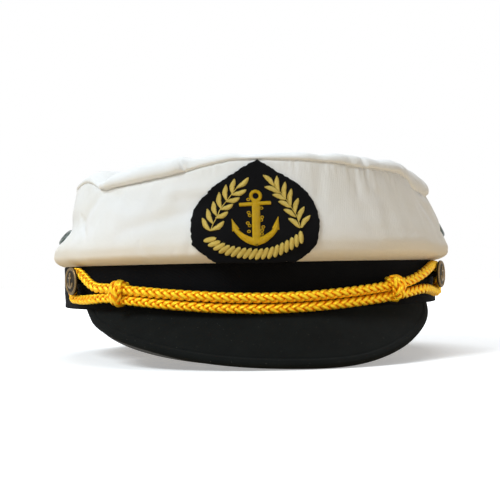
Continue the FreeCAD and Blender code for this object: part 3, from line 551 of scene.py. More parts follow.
def wall_shape(angle, height):
    """How far the wall stands off its even profile."""
    degrees = np.degrees(angle)
    push = np.zeros(np.broadcast(angle, height).shape)
    for centre, level, wide, tall, out in WALL_PUSHES:
        push = push + out * np.exp(-(turned_from(degrees, centre) / wide) ** 2 - ((height - level) / tall) ** 2)
    for (a0, h0), (a1, h1), wide, depth in WALL_CREASES:
        run = np.array([turned_from(a1, a0) * MM_PER_DEGREE, h1 - h0])
        du, dv = turned_from(degrees, a0) * MM_PER_DEGREE, height - h0
        share = np.clip((du * run[0] + dv * run[1]) / (run @ run), 0, 1)
        away = np.hypot(du - share * run[0], dv - share * run[1])
        push = push - depth * np.exp(-(away / wide) ** 2)
    return push * np.clip(height / FOOT_HEIGHT, 0, 1)


def wall_row(angle, share, offset):
    """A row of points at a share of the way up the wall, moved out from the band's oval by offset."""
    x, y = oval(angle, offset)
    drop = round_table(angle, SEAM_DROP)
    return np.stack([x, y, BAND_HEIGHT + (SIDE_HEIGHT - drop) * share - y * CROWN_TILT * share], -1)


def wall_points(angle, share):
    """Points of the crown's wall; share runs from 0 at the band to 1 at the top seam."""
    height = SIDE_HEIGHT * share
    return wall_row(angle, share, smooth_wall_offset(height) + wall_shape(angle, height))


TOP_FALL = 0.042                  # how steeply the top falls towards the back
DOME_HEIGHT, DOME_RISE, DOME_REACH = 60.5, 3.0, 90


def dome(x, y):
    """Height of the top panel's middle."""
    return DOME_HEIGHT - TOP_FALL * y + DOME_RISE * (1 - (x ** 2 + y ** 2) / DOME_REACH ** 2)


# the top panel's soft hollows and rises: middle, reach along x and y, height; none reaches past its edge
TOP_DENTS = [(-52, 28, 26, 34, 0.9), (40, 40, 30, 22, -1.2), (18, -30, 36, 20, 0.8), (-30, -44, 24, 16, -0.8),
             (62, -10, 18, 30, -1.0), (0, 74, 40, 12, 0.7), (-8, 8, 30, 26, -0.7), (-66, -20, 14, 26, -0.8)]
TOP_REACH = 86


def top_dents(x, y):
    """Height of those hollows and rises at a place."""
    fade_out = np.clip(1 - (x ** 2 + y ** 2) / TOP_REACH ** 2, 0, 1)
    return fade_out * sum(high * np.exp(-((x - cx) / wide) ** 2 - ((y - cy) / deep) ** 2)
                          for cx, cy, wide, deep, high in TOP_DENTS)


def roll_points(angle, seam, turn):
    """Points of the roll; turn runs from 0 at the seam, out over it and up, to 1 on the top panel."""
    height, width, bulge = (round_table(angle, rows) for rows in (ROLL_HEIGHT, ROLL_WIDTH, ROLL_BULGE))
    inward = width * (1 - cos(turn * pi / 2)) - bulge * sin(pi * turn ** 0.62)
    rise = height * sin(turn * pi / 2) ** 1.25
    return np.column_stack([seam[:, :2] - crown_normal(angle) * inward[:, None], seam[:, 2] + rise])


WALL_SHARES = np.concatenate([[0.0, 0.02, 0.055], np.linspace(0.1, 0.93, 18), [0.972, 1.0]])
ROLL_TURNS = np.linspace(0, 1, 11)[1:]
TOP_SHARES = np.concatenate([np.linspace(0, 0.3, 8)[1:], np.linspace(0.3, 0.96, 14)[1:]])
ROLL_RUN_OUT = 0.35               # by this share of the way to the middle, the roll has run out into the dome


def crown_pattern(angle):
    """The crown's cloth as rows of points, from the band over the seam to near the middle of the top."""
    rows = [wall_points(angle, share) for share in WALL_SHARES]
    rows += [roll_points(angle, rows[-1], turn) for turn in ROLL_TURNS]
    edge = rows[-1]
    for t in TOP_SHARES:
        plan = edge[:, :2] * (1 - t)
        share = min(t / ROLL_RUN_OUT, 1.0)
        share = share * share * (3 - 2 * share)
        even = edge[:, 2] * (1 - share) + dome(*plan.T) * share
        rows.append(np.column_stack([plan, even + top_dents(*plan.T)]))
    return np.array(rows)


CROWN_COLUMNS = 288
SEAM_ROW = len(WALL_SHARES) - 1
TOP_ROW = SEAM_ROW + len(ROLL_TURNS)
BADGE_HALF_ANGLE = 24.0
CLOTH_STEPS, CLOTH_REACH = 14, 1.6    # how long the cloth settles, and how far a point may move


def evened(moved):
    """Moves of the points, averaged with their neighbours round the cap."""
    return (2 * moved + np.roll(moved, 1, 1) + np.roll(moved, -1, 1)) / 4


def settled(rows):
    """The pattern after its cloth has filled out: fast at the band, firm at the seam and behind the badge."""
    count, columns = rows.shape[:2]
    points = rows.reshape(-1, 3)
    cloth = new_piece("crown_pattern", points, ring_faces(count, columns))
    angle = np.degrees(np.linspace(-pi, pi, columns, endpoint=False))
    hold = np.full((count, columns), 0.22)
    hold[:4], hold[SEAM_ROW - 1:SEAM_ROW + 2], hold[-3:] = 0.8, 0.9, 1.0
    hold[4:SEAM_ROW, np.abs(angle) < BADGE_HALF_ANGLE] = 0.85
    hold[0] = 1.0
    group = cloth.vertex_groups.new(name="held")
    for index, share in enumerate(hold.ravel()):
        group.add([index], float(share), "REPLACE")
    modifier = cloth.modifiers.new("cloth", "CLOTH")
    settings = modifier.settings
    settings.quality, settings.mass, settings.air_damping = 6, 0.2, 2.0
    settings.tension_stiffness = settings.compression_stiffness = 15.0
    settings.shear_stiffness, settings.bending_stiffness = 6.0, 12.0
    settings.vertex_group_mass, settings.pin_stiffness = "held", 1.0
    settings.use_pressure, settings.uniform_pressure_force = True, 1.0
    settings.shrink_min = -0.009
    settings.effector_weights.gravity = 0.0
    modifier.point_cache.frame_end = CLOTH_STEPS
    for step in range(CLOTH_STEPS):
        bpy.context.scene.frame_set(step + 1)
    mesh = bpy.data.meshes.new_from_object(cloth.evaluated_get(bpy.context.evaluated_depsgraph_get()))
    bpy.context.scene.frame_set(1)
    moved = np.array([vertex.co for vertex in mesh.vertices]) / MM - points
    bpy.data.objects.remove(cloth)
    far = np.linalg.norm(moved, axis=1, keepdims=True)
    moved = (moved * np.minimum(1.0, CLOTH_REACH / np.maximum(far, 1e-6))).reshape(rows.shape)
    for _ in range(2):                # the foam under the cloth evens out its smallest folds
        moved = evened(moved)
        moved[1:-1] = (2 * moved[1:-1] + moved[:-2] + moved[2:]) / 4
    over = moved[TOP_ROW:]
    smoother = over.copy()
    for _ in range(60):               # and the top panel lies without creases towards its middle
        smoother = evened(smoother)
    share = np.clip(np.arange(len(over)) / 8, 0, 1)[:, None, None]
    moved[TOP_ROW:] = over * (1 - share) + smoother * share
    return rows + moved


BAND_ROUND = 583                  # mm round the band


def between(rows, places):
    """Rows read at fractional places by a smooth curve through them."""
    last = len(rows) - 1
    first = np.clip(np.floor(places).astype(int), 0, last - 1)
    t = (places - first)[:, None, None]
    a, b, c, d = (rows[np.clip(first + step, 0, last)] for step in (-1, 0, 1, 2))
    return b + 0.5 * t * (c - a + t * (2 * a - 5 * b + 4 * c - d + t * (3 * (b - c) + d - a)))


def ripple(angle, seed, shortest, longest):
    """An even mix of waves round the cap, about -1 to 1, with lengths in mm."""
    chance = np.random.default_rng(seed)
    turns = np.round(BAND_ROUND / chance.uniform(shortest, longest, 14))
    return sum(np.sin(n * angle + phase) for n, phase in zip(turns, chance.uniform(0, 2 * pi, 14))) / 3.2


# the seam's groove round the cap: its depth, and its width
GROOVE = [(-180, 0.7), (-100, 0.6), (-56, 0.7), (-50, 0.75), (-14, 0.75), (0, 0.6), (20, 0.75), (44, 0.7),
          (49, 0.35), (54, 0.16), (72, 0.14), (84, 0.3), (100, 0.6), (180, 0.7)]
GROOVE_WIDTH = 0.55
# where the front and back panels meet, in degrees from the front, and columns of points close beside that seam
SIDE_SEAM = 113.4
BESIDE_SEAM = np.array([-0.9, -0.5, -0.25, -0.1, 0.0, 0.1, 0.25, 0.5, 0.9])
# short folds over the roll: degrees at the seam, lean per mm, half width, depth, how far up they run
ROLL_CREASES = [(-19.6, 0.28, 0.5, 0.9, 9.0), (-21.4, 0.28, 1.3, -0.5, 9.0), (-51.6, 0.05, 0.55, 1.0, 8.0),
                (-49.6, 0.05, 1.4, -0.5, 8.0), (26.5, -0.2, 1.4, 0.45, 7.0), (46.0, 0.3, 1.8, 0.5, 9.0),
                (58.0, 0.5, 2.0, 0.6, 12.0), (-88.0, 0.2, 2.0, 0.6, 11.0), (128.0, 0.2, 1.6, 0.6, 9.0),
                (-150.0, -0.2, 1.8, 0.5, 9.0), (164.0, 0.1, 1.6, 0.5, 8.0)]
# how strongly the cloth puckers along the top seam and gathers at the band, round the cap
PUCKERS = [(-180, 0.25), (-62, 0.15), (-54, 0.05), (-22, 0.05), (-14, 0.10), (0, 0.10), (17, 0.18), (25, 0.30),
           (45, 0.28), (55, 0.15), (90, 0.2), (180, 0.25)]
GATHERS = [(-180, 0.15), (-60, 0.05), (-35, 0.10), (-26, 0.16), (-14, 0.12), (0, 0.04), (20, 0.05), (60, 0.06),
           (180, 0.15)]


def crown_rows():
    """The settled cloth read at fine rows and columns: points, angle of each column, and the seam's row."""
    angle = np.concatenate([np.arange(-180, -75, 0.75), np.arange(-75, 75, 0.25), np.arange(75, 180, 0.75),
                            -SIDE_SEAM - BESIDE_SEAM, SIDE_SEAM + BESIDE_SEAM])
    angle = np.radians(np.unique(np.round(angle, 3)))
    pattern = crown_pattern(np.linspace(-pi, pi, CROWN_COLUMNS, endpoint=False))
    pattern = settled(pattern)
    under_seam = SEAM_ROW + np.array([-1.0, -0.7, -0.45, -0.3, -0.2, -0.1, 0.0])
    wall = between(pattern[:SEAM_ROW + 1], np.concatenate([np.arange(0, SEAM_ROW - 1, 0.5), under_seam]))
    over = between(pattern[SEAM_ROW:], np.concatenate([[0.1, 0.2, 0.35, 0.55, 0.8], np.arange(1.1, 10, 0.5),
                                                       np.arange(10, len(pattern) - SEAM_ROW)]))
    rows = np.concatenate([wall, over]).swapaxes(0, 1)
    rows = np.concatenate([rows[-2:], rows, rows[:3]])
    return between(rows, (angle + pi) / (2 * pi) * CROWN_COLUMNS + 2).swapaxes(0, 1), angle, len(wall) - 1

# mm over which the puckers fade down the wall and up the roll, and the gathers up the wall
WALL_PUCKER_REACH, ROLL_PUCKER_REACH, GATHER_REACH = 3.2, 2.6, 3.6
# the cloth's faint unevenness: depth, run of one wave, and how far over the seam it goes
UNEVEN_DEPTH, UNEVEN_RUN, UNEVEN_END = 0.12, 7.0, 60
# the side seams: depth and width of the groove; depth, reach and run of the puckers beside it
SIDE_GROOVE, SIDE_WIDTH, SIDE_PUCKER, SIDE_REACH, SIDE_RUN = 0.8, 0.5, 0.25, 3.0, 1.1
ROLL_SINK = 0.7                   # how far the roll's creases sink, as a share of how far they go in
FOOT_FADE_RUN = 1.5               # within this run from the band everything fades out


def crown_skin():
    """The finished cloth: the groove of the top seam with its puckers, gathers at the band, side seams."""
    rows, angle, seam = crown_rows()
    steps = np.linalg.norm(np.diff(rows, axis=0), axis=2)
    run = np.vstack([np.zeros(len(angle)), np.cumsum(steps, axis=0)])
    away = np.abs(run - run[seam])
    lower = (np.arange(len(rows)) < seam)[:, None]
    puckers = round_table(angle, PUCKERS)
    inward = round_table(angle, GROOVE) * np.exp(-(away / GROOVE_WIDTH) ** 2)
    inward += np.where(lower, puckers * (0.6 + ripple(angle, 11, 2.4, 7.0)) * np.exp(-away / WALL_PUCKER_REACH),
                       puckers * 0.6 * ripple(angle, 12, 2.6, 9.0) * np.exp(-away / ROLL_PUCKER_REACH))
    gathers = round_table(angle, GATHERS) * ripple(angle, 13, 2.5, 8.0)
    inward += np.where(lower, gathers * np.exp(-run / GATHER_REACH), 0)
    uneven = UNEVEN_DEPTH * ripple(angle, 14, 9.0, 30.0)
    inward += np.where(run < run[seam] + UNEVEN_END, uneven * np.sin(run / UNEVEN_RUN), 0)
    creased = np.zeros_like(run)
    for centre, lean, wide, depth, reach in ROLL_CREASES:
        turn = (np.degrees(angle) - centre + lean * away) * MM_PER_DEGREE
        creased += np.where(lower, 0, depth * np.exp(-(turn / wide) ** 2 - (away / reach) ** 4))
    inward += creased
    rows[..., 2] -= ROLL_SINK * creased
    beside = np.abs(np.abs(np.degrees(angle)) - SIDE_SEAM) * MM_PER_DEGREE
    inward += np.where(lower, SIDE_GROOVE * np.exp(-(beside / SIDE_WIDTH) ** 2)
                       + SIDE_PUCKER * np.exp(-beside / SIDE_REACH) * (0.5 + 0.5 * np.sin(run / SIDE_RUN)), 0)
    inward *= np.clip(run / FOOT_FADE_RUN, 0, 1)
    out = crown_normal(angle)
    rows[..., :2] -= out * inward[..., None]
    return rows, out


CLOTH_THICKNESS = 1.2             # of the cloth with its foam
INNER_STEP = 12                   # the inside needs only every twelfth row


def crown_cover():
    """The padded crown as one closed shell."""
    rows, out = crown_skin()
    inner = rows[::INNER_STEP].copy()
    inner[..., :2] -= out * CLOTH_THICKNESS
    rising = np.minimum(1.0, np.arange(0, len(rows), INNER_STEP) / 40)
    inner[..., 2] -= CLOTH_THICKNESS * rising[:, None]
    middle = dome(0, 0)
    crown = bowl("crown_cover", rows, inner, (0, 0, middle), (0, 0, middle - CLOTH_THICKNESS), COTTON)
    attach(crown, "cap")
    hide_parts("crown_front_panel", "crown_back_panel", "crown_top_panel", "crown_foam_side", "crown_foam_top")
    return crown


crown = crown_cover()


# ---- eyelets ------------------------------------------------------------------------------------

# closed sections: distance from the middle and height over the cloth
EYELET_SECTION = [(1.75, -1.4), (1.8, 0.1), (1.95, 0.75), (2.4, 1.2), (3.1, 1.35), (3.9, 1.1), (4.5, 0.55),
                  (4.7, -0.1), (4.5, -1.0), (3.4, -1.4)]
# a dark disc that fills each eyelet's opening: painted shade of the hole
HOLE_SHADE_SECTION = [(0.02, 0.22), (1.9, 0.22), (1.9, -0.8), (0.02, -0.8)]
WASHER_SECTION = [(1.8, -0.5), (1.85, 0.45), (2.2, 0.7), (3.4, 0.7), (4.0, 0.45), (4.1, -0.5)]
# each vent: place along the side, height, how far it leans forward; and the side that each name stands for
VENTS = {"left": [(-16.0, 32.6, 0.20), (18.0, 34.0, 0.0)], "right": [(-16.0, 34.0, 0.06), (18.0, 34.0, 0.0)]}
SIDES = {-1: "left", 1: "right"}


def around(corners):
    """Even turns once round."""
    return [2 * pi * k / corners for k in range(corners)]


def lathe(name, spots, section, material, corners=40):
    """Closed rings turned about the normal of each spot, on the cap."""
    points, faces = [], []
    for spot, normal in spots:
        across = normal.cross(Vector((0, 0, 1))).normalized()
        upward = normal.cross(across)
        faces += ring_faces(len(section), corners, len(points), closed=True)
        points += [spot / MM + (across * cos(turn) + upward * sin(turn)) * radius + normal * height
                   for radius, height in section for turn in around(corners)]
    piece = facing_out(new_piece(name, points, faces, material))
    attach(piece, "cap")
    return piece


OUTSIDE, INSIDE = 200.0, 20.0     # where the line of sight to a vent starts, from the cap's middle


def seats(surface, side, outside):
    """Where each vent of a side meets a surface seen from outside or from within the head opening."""
    start, away = (OUTSIDE, -side) if outside else (INSIDE, side)
    spots = []
    for y, height, lean in VENTS[SIDES[side]]:
        spot, normal = surface.ray_cast(Vector((side * start * MM, y * MM, height * MM)), Vector((away, 0, 0)))[:2]
        spots.append((spot, (normal + Vector((0, -lean if outside else 0, 0))).normalized()))
    return spots


def eyelets(surface):
    """Two enamelled vent eyelets on each side, seated square on the cloth, with painted shade of the hole in each."""
    for side, name in SIDES.items():
        spots = seats(surface, side, True)
        rings = lathe("vent_eyelets_" + name, spots, EYELET_SECTION, ENAMEL)
        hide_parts("eyelets_" + name)
        # a dark disc in each opening as painted shade of the hole, since the cloth under it is not cut
        lathe("vent_gauze_" + name, spots, HOLE_SHADE_SECTION, BAND_CLOTH)


def washers(surface):
    """The eyelets' inner halves, on the lining."""
    for side, name in SIDES.items():
        rings = lathe("vent_washers_" + name, seats(surface, side, False), WASHER_SECTION, ENAMEL)
        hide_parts("eyelet_washers_" + name)


crown_surface = BVHTree.FromObject(crown, bpy.context.evaluated_depsgraph_get())
eyelets(crown_surface)


# ---- lining, band, sweatband and visor ----------------------------------------------------------

# the lining: share of the wall where it starts, height of its middle, depth of its two faces under the cloth, and
# shares of the way to the middle that its top's rows stand at
LINING_EDGE, LINING_TOP = 0.07, 59.4
LINING_DEPTHS = (4.0, 4.6)
LINING_SHARES = (0.015, 0.04, 0.08, 0.14, 0.22, 0.32, 0.45, 0.6, 0.75, 0.9)
SWEATBAND_CLEARANCE, CLEARANCE_HEIGHT = 1.7, 12.8


def lining():
    """The thin lining: up the wall under the foam, then over the head; it keeps clear of the sweatband."""
    angle = np.linspace(-pi, pi, 240, endpoint=False)
    skins = []
    for depth in LINING_DEPTHS:
        rows = []
        for share in np.linspace(LINING_EDGE, 1.0, 22):
            height = SIDE_HEIGHT * share
            offset = smooth_wall_offset(height) - depth + wall_shape(angle, height)
            offset = offset + 0.3 * ripple(angle, 21, 12.0, 45.0) * sin(pi * share)
            clear = SWEATBAND_CLEARANCE - depth - 0.8 * max(0.0, height - CLEARANCE_HEIGHT)
            rows.append(wall_row(angle, share, np.maximum(offset, clear)))
        edge = rows[-1]
        for t in LINING_SHARES:
            share = sin(min(t / 0.5, 1.0) * pi / 2)
            plan = edge[:, :2] * (1 - t)
            middle = LINING_TOP - TOP_FALL * plan[:, 1] - (depth - LINING_DEPTHS[0])
            puckers = 0.35 * ripple(angle, 22, 4.0, 14.0) * max(0.0, 1 - t / 0.2)
            rows.append(np.column_stack([plan, edge[:, 2] * (1 - share) + middle * share + puckers]))
        skins.append(np.array(rows))
    thickness = LINING_DEPTHS[1] - LINING_DEPTHS[0]
    piece = bowl("crown_lining", *skins, (0, 0, LINING_TOP), (0, 0, LINING_TOP - thickness), LINING)
    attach(piece, "cap")
    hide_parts("lining_side", "lining_top")
    return piece


def level_row(angle, offset, height):
    """Points of the band's oval, moved out by offset, at one height."""
    x, y = oval(angle, offset)
    return np.stack([x, y, np.full_like(x, height)], -1)


# sections of the band's cloth and the sweatband: offset from the oval and height
BAND_SECTION = [(0.0, 0.6), (0.0, 1.6), (-0.12, 2.0), (0.0, 2.4)] + [(0.0, z) for z in np.linspace(4.5, 14.5, 6)] + [
    (0.0, 16.6), (0.0, 17.9), (-0.1, 18.5), (-0.45, 18.8), (-0.95, 18.8), (-1.2, 18.5), (-1.2, 9.0), (-1.2, -0.02),
    (-2.42, -0.02), (-2.46, 5.6), (-2.62, 5.8), (-2.86, 5.6), (-2.9, 0.0), (-2.75, -0.2), (-2.4, -0.3), (-0.6, -0.3),
    (-0.15, -0.18), (0.0, 0.05)]
SWEATBAND_SECTION = [(-3.1, 0.4), (-3.1, 15.0), (-3.1, 30.6), (-3.3, 31.0), (-3.9, 31.0), (-4.1, 30.6), (-4.1, 29.4),
                     (-3.95, 29.0), (-4.1, 28.6)] + [(-4.1, z) for z in np.linspace(26, 5, 8)] + [
    (-4.1, 3.6), (-3.9, 3.2), (-4.1, 2.8), (-4.1, 0.4), (-3.9, 0.0), (-3.3, 0.0)]
SPLIT_HALF_TURN = 0.3 / BAND_HALF_LENGTH      # half the sweatband's open butt at the rear


def band_cloth():
    """The twill round the stiffener, folded in at both edges, with its butt seam at the rear."""
    angle = np.linspace(-pi, pi, 480, endpoint=False)
    beside = (pi - np.abs(angle)) * BAND_HALF_LENGTH
    seam = 0.5 * np.exp(-(beside / 0.5) ** 2)
    loops = []
    for offset, height in BAND_SECTION:
        uneven = 0.10 * ripple(angle + height / 40, 31, 9.0, 40.0) - seam
        loops.append(level_row(angle, offset - 0.1 + uneven * (offset > -0.2), height))
    piece = swept("band_cloth", np.array(loops).swapaxes(0, 1), BAND_CLOTH, True)
    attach(piece, "cap")
    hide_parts("cap_band")


# the sweatband's stitches: heights of the two rows, step and half length in degrees, and how deep the thread lies
STITCH_HEIGHTS, STITCH_STEP, STITCH_HALF = (3.2, 29.0), 1.6, 0.62
STITCH_OFFSETS = [-3.9, -4.12, -4.16, -4.12, -3.9]


def sweatband():
    """The leather strip round the head, open at the rear, with a row of stitches along each edge."""
    angle = np.linspace(-pi + SPLIT_HALF_TURN, pi - SPLIT_HALF_TURN, 360)
    wave = 0.12 * ripple(angle, 41, 20.0, 70.0)
    loops = [level_row(angle, offset + wave * (height > 20), height) for offset, height in SWEATBAND_SECTION]
    piece = swept("sweatband_leather", np.array(loops).swapaxes(0, 1), LEATHER, False)
    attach(piece, "cap")
    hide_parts("sweatband")
    length = np.linspace(-STITCH_HALF, STITCH_HALF, len(STITCH_OFFSETS))
    lines = [level_row(np.radians(middle + length), STITCH_OFFSETS, height)
             for height in STITCH_HEIGHTS for middle in np.arange(-176.0, 177.0, STITCH_STEP)]
    stitches = grow("sweatband_stitches", SEWING, line_piece("seam_lines", lines), Thread=BLACK_THREAD)
    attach(stitches, "cap")


def sewing_tree():
    """A thread of even thickness along each line of the base."""
    tree, given = new_tree("sewing_thread", Width=0.00022, Thickness=0.00016, Thread=bpy.types.Material)
    line = add(tree, "GeometryNodeMeshToCurve", given["Geometry"])
    level = add(tree, "GeometryNodeSetCurveNormal", line.outputs[0], mode="Z_UP")
    tube = yarn_tube(tree, level.outputs[0], given["Width"], given["Thickness"], 6)
    return close_tree(tree, tube, given["Thread"])


# the visor's slope, the radius of its root, its thickness, and how far it lies under the band's edge
VISOR_FALL, VISOR_ROOT, VISOR_THICKNESS, VISOR_DROP = radians(38.5), 82.0, 2.8, 0.35
# the visor's plan round the front arc's middle: reach of its edge every 5 degrees, and at its two ends
VISOR_DEGREES = [-68, *range(-65, 66, 5), 68]
VISOR_REACH = [82.5, 83.6, 86.0, 89.0, 91.6, 94.0, 96.6, 98.8, 101.0, 103.1, 105.0, 106.6, 107.9, 108.9, 109.5, 109.9,
               110.1, 109.8, 108.6, 106.6, 104.0, 101.1, 97.9, 94.8, 91.9, 89.0, 86.2, 83.8, 82.5]
# its section near the edge: distance back from the edge and height over the even face
VISOR_BEAD = [(0.0, 0.0), (0.4, 0.10), (0.9, 0.16), (1.4, 0.13), (1.8, 0.02), (2.1, -0.14), (2.4, -0.20), (2.7, -0.14),
              (3.1, -0.02)] + [(back, 0.0) for back in (3.7, 5.0, 7.0, 9.5, 12.5, 16.0, 20.0, 25.0, 40.0)]

VISOR_WAVES = [(0.16, 5, 0.8), (0.10, 11, 0.0)]     # height, waves over a whole turn, phase
EDGE_SHIFTS = (-2.4, -1.2, 0.0, 1.2, 2.4)           # degrees over which the edge's corners are evened out
VISOR_TUCK = 1.3                                    # the under face's root starts this far out from the top's


def visor():
    """The cloth-covered visor: two faces on one slope, met by a rounded edge with a shallow groove beside it."""
    degrees = np.linspace(VISOR_DEGREES[0], VISOR_DEGREES[-1], 301)
    reach = np.mean([np.interp(degrees + shift, VISOR_DEGREES, VISOR_REACH)
                     for shift in EDGE_SHIFTS], axis=0)
    run_out, fall = cos(VISOR_FALL), sin(VISOR_FALL)
    loops = []
    for turn, edge in zip(np.radians(degrees), reach):
        thick = VISOR_THICKNESS * min(1.0, max(0.3, (edge - VISOR_ROOT) / 2))
        half = thick / 2
        length = max(0.05, (edge - VISOR_ROOT - half * (1 - fall)) / run_out)
        back, bead = np.array(VISOR_BEAD).T
        back, bead = np.minimum(back, length), bead * min(1.0, length / 6)
        wave = sum(high * sin(turn * count + phase) for high, count, phase in VISOR_WAVES)
        top = [(length - d, h + wave * min(1.0, d / 6) * min(1.0, (length - d) / 5)) for d, h in zip(back, bead)][::-1]
        bend = [(length + half * sin(a), half * cos(a) - half) for a in np.linspace(0.3, pi - 0.3, 7)]
        under = [(max(length - d, min(VISOR_TUCK, length)), -thick - 0.6 * h) for d, h in zip(back, bead)]
        loop = []
        for along, lift in top + bend + under:
            radius = VISOR_ROOT + along * run_out + lift * fall
            height = (END_RADIUS - VISOR_ROOT) * tan(VISOR_FALL) - VISOR_DROP - along * fall + lift * run_out
            loop.append((radius * sin(turn), -END_CENTRE - radius * cos(turn), height))
        loops.append(loop)
    piece = swept("visor_cloth", np.array(loops), VISOR_CLOTH, False)
    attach(piece, "cap")
    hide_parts("visor_top_cover", "visor_under_cover")


# ---- chin cord and its knots --------------------------------------------------------------------

def braid_tree():
    """Eight yarns, four each way, that pass over two and under two along each line of the base."""
    tree, given = new_tree("round_braid", Step=0.0004, Pitch=0.0140, Core=0.00116, Depth=0.00042, Width=0.00094,
                           Thickness=0.00062, Turn=0.0, Yarn=bpy.types.Material)
    plus, times, cosine = sums(tree, "ADD", "MULTIPLY", "COSINE")
    line = add(tree, "GeometryNodeMeshToCurve", given["Geometry"]).outputs[0]
    even = add(tree, "GeometryNodeResampleCurve", line, None, given["Step"], mode="LENGTH").outputs[0]
    kept = add(tree, "GeometryNodeSetCurveNormal", even, mode="MINIMUM_TWIST").outputs[0]
    for label, kind, node, output in (("N", "FLOAT_VECTOR", "InputNormal", "Normal"),
                                      ("T", "FLOAT_VECTOR", "InputTangent", "Tangent"),
                                      ("along", "FLOAT", "SplineParameter", "Length")):
        kept = stored(tree, kept, label, add(tree, "GeometryNode" + node).outputs[output], kind)
    copies = add(tree, "GeometryNodeDuplicateElements", kept, None, 8, domain="SPLINE")
    index = copies.outputs["Duplicate Index"]
    way = calc(tree, "SUBTRACT", 1.0, times(calc(tree, "GREATER_THAN", index, 3.5), 2.0))
    quarter = times(calc(tree, "MODULO", index, 4.0), pi / 2)
    run = calc(tree, "DIVIDE", times(carried(tree, "along"), 2 * pi), given["Pitch"])
    turn = plus(times(way, run), quarter)
    wave = cosine(plus(times(turn, 2.0), pi / 4))
    over = calc(tree, "MAXIMUM", calc(tree, "MINIMUM", times(times(wave, way), 1.6), 1.0), -1.0)
    radius = plus(given["Core"], times(given["Depth"], over))
    turned = plus(turn, given["Turn"])
    normal, tangent = (carried(tree, label, "FLOAT_VECTOR") for label in "NT")
    side = vector(tree, "CROSS_PRODUCT", tangent, normal)
    outward = vector(tree, "ADD", scaled(tree, normal, cosine(turned)),
                     scaled(tree, side, calc(tree, "SINE", turned)))
    marked = stored(tree, copies.outputs["Geometry"], "over", over)
    moved = add(tree, "GeometryNodeSetPosition", marked, None, None, scaled(tree, outward, radius)).outputs[0]
    tube = yarn_tube(tree, facing(tree, moved, outward), given["Width"], given["Thickness"], 8)
    return close_tree(tree, tube, given["Yarn"])


def yarn_tube(tree, curve, width, thickness, corners):
    """A flat oval yarn along a curve; side, from -1 to 1, is stored across it."""
    ring = add(tree, "GeometryNodeCurvePrimitiveCircle", corners, 1.0, mode="RADIUS").outputs["Curve"]
    place_of = add(tree, "GeometryNodeInputPosition").outputs[0]
    across = add(tree, "ShaderNodeSeparateXYZ", place_of).outputs["Y"]
    size = add(tree, "ShaderNodeCombineXYZ", thickness, width, 1.0).outputs[0]
    shaped = add(tree, "GeometryNodeTransform", stored(tree, ring, "side", across))
    tree.links.new(size, shaped.inputs["Scale"])
    tube = add(tree, "GeometryNodeCurveToMesh", curve, shaped.outputs[0])
    tube.inputs["Fill Caps"].default_value = True
    return tube.outputs[0]


BRAID = braid_tree()
SEWING = sewing_tree()
washers(BVHTree.FromObject(lining(), bpy.context.evaluated_depsgraph_get()))
band_cloth()
sweatband()
visor()


def spline_points(points):
    """Points, in metres, along the smooth NURBS line of a route given in metres."""
    data = bpy.data.curves.new("route", "CURVE")
    data.dimensions = "3D"
    data.resolution_u = 24
    spline = data.splines.new("NURBS")
    spline.points.add(len(points) - 1)
    for target, point in zip(spline.points, points):
        target.co = (*point, 1.0)
    spline.order_u = 3
    spline.use_endpoint_u = True
    route = show("route", data)
    graph = bpy.context.evaluated_depsgraph_get()
    mesh = bpy.data.meshes.new_from_object(route.evaluated_get(graph))
    line = [tuple(vertex.co) for vertex in mesh.vertices]
    bpy.data.objects.remove(route)
    bpy.data.meshes.remove(mesh)
    return line


def both_halves(half):
    """A whole route from its half on the wearer's left, which ends at the button's post: x, y and the heights on
    the wearer's left and right."""
    return [(-x, y, right) for x, y, _, right in reversed(half)] + [(x, y, left) for x, y, left, _ in half]


BRAID_TURNS = {"upper": 0.4, "lower": 1.1}    # so that the two strands' yarns don't lie alike
# each strand's half from the middle to the button, in metres: x, y and the heights on the wearer's left and right
CORD_ROUTES = {
    "upper": [(0.0125, -0.1060, 0.0044, 0.0044), (0.0365, -0.0991, 0.0061, 0.0061), (0.0576, -0.0859, 0.0086, 0.0082),
              (0.0659, -0.0766, 0.0108, 0.0092), (0.0718, -0.0700, 0.0136, 0.0092), (0.0780, -0.0554, 0.0165, 0.0156),
              (0.0798, -0.0518, 0.0163, 0.0161), (0.0823, -0.0466, 0.0161, 0.0161), (0.0823, -0.0466, 0.0102, 0.0102)],
    "lower": [(0.0125, -0.1051, 0.0000, 0.0000), (0.0365, -0.0983, 0.0017, 0.0017), (0.0576, -0.0850, 0.0041, 0.0041),
              (0.0659, -0.0758, 0.0057, 0.0052), (0.0718, -0.0691, 0.0064, 0.0046), (0.0780, -0.0554, 0.0052, 0.0040),
              (0.0798, -0.0518, 0.0045, 0.0045), (0.0823, -0.0466, 0.0045, 0.0045), (0.0823, -0.0466, 0.0102, 0.0102)],
}


def chin_cord():
    """The two braided strands, each from button to button."""
    for name, half in CORD_ROUTES.items():
        path = spline_points(both_halves(half))
        base = line_piece("cord_line", [np.array(path) / MM])
        cord = grow("chin_cord_" + name, BRAID, base, Yarn=CORD_YARN, Turn=BRAID_TURNS[name])
        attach(cord, "chin_cord")
        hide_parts("cord_" + name)


def joint(name):
    """Place and direction of a joint, in metres, from the record."""
    row = next(row for row in frame["record"]["behaviour"]["joints"] if row["name"] == name)
    return Vector(row["pos_m"]), Vector(row["axis"]).normalized()


# each wrap of a knot: middle and fan along the strands, how far it stands in front of the others, where it starts
KNOT_WRAPS = [(0.0, 0.0, -0.9, 0.3), (-0.75, -0.5, 0.45, 1.3), (0.75, 0.5, -0.1, 2.2)]
# a wrap's straight flanks, its rounded ends, and how far its middle stands forward of the strands
KNOT_STRAIGHT, KNOT_ROUND, KNOT_FORWARD = 0.9, 2.75, 0.9
KNOT_ARC, KNOT_STEPS = 87.5, 40   # from the slide's centre to the strands; steps round a wrap
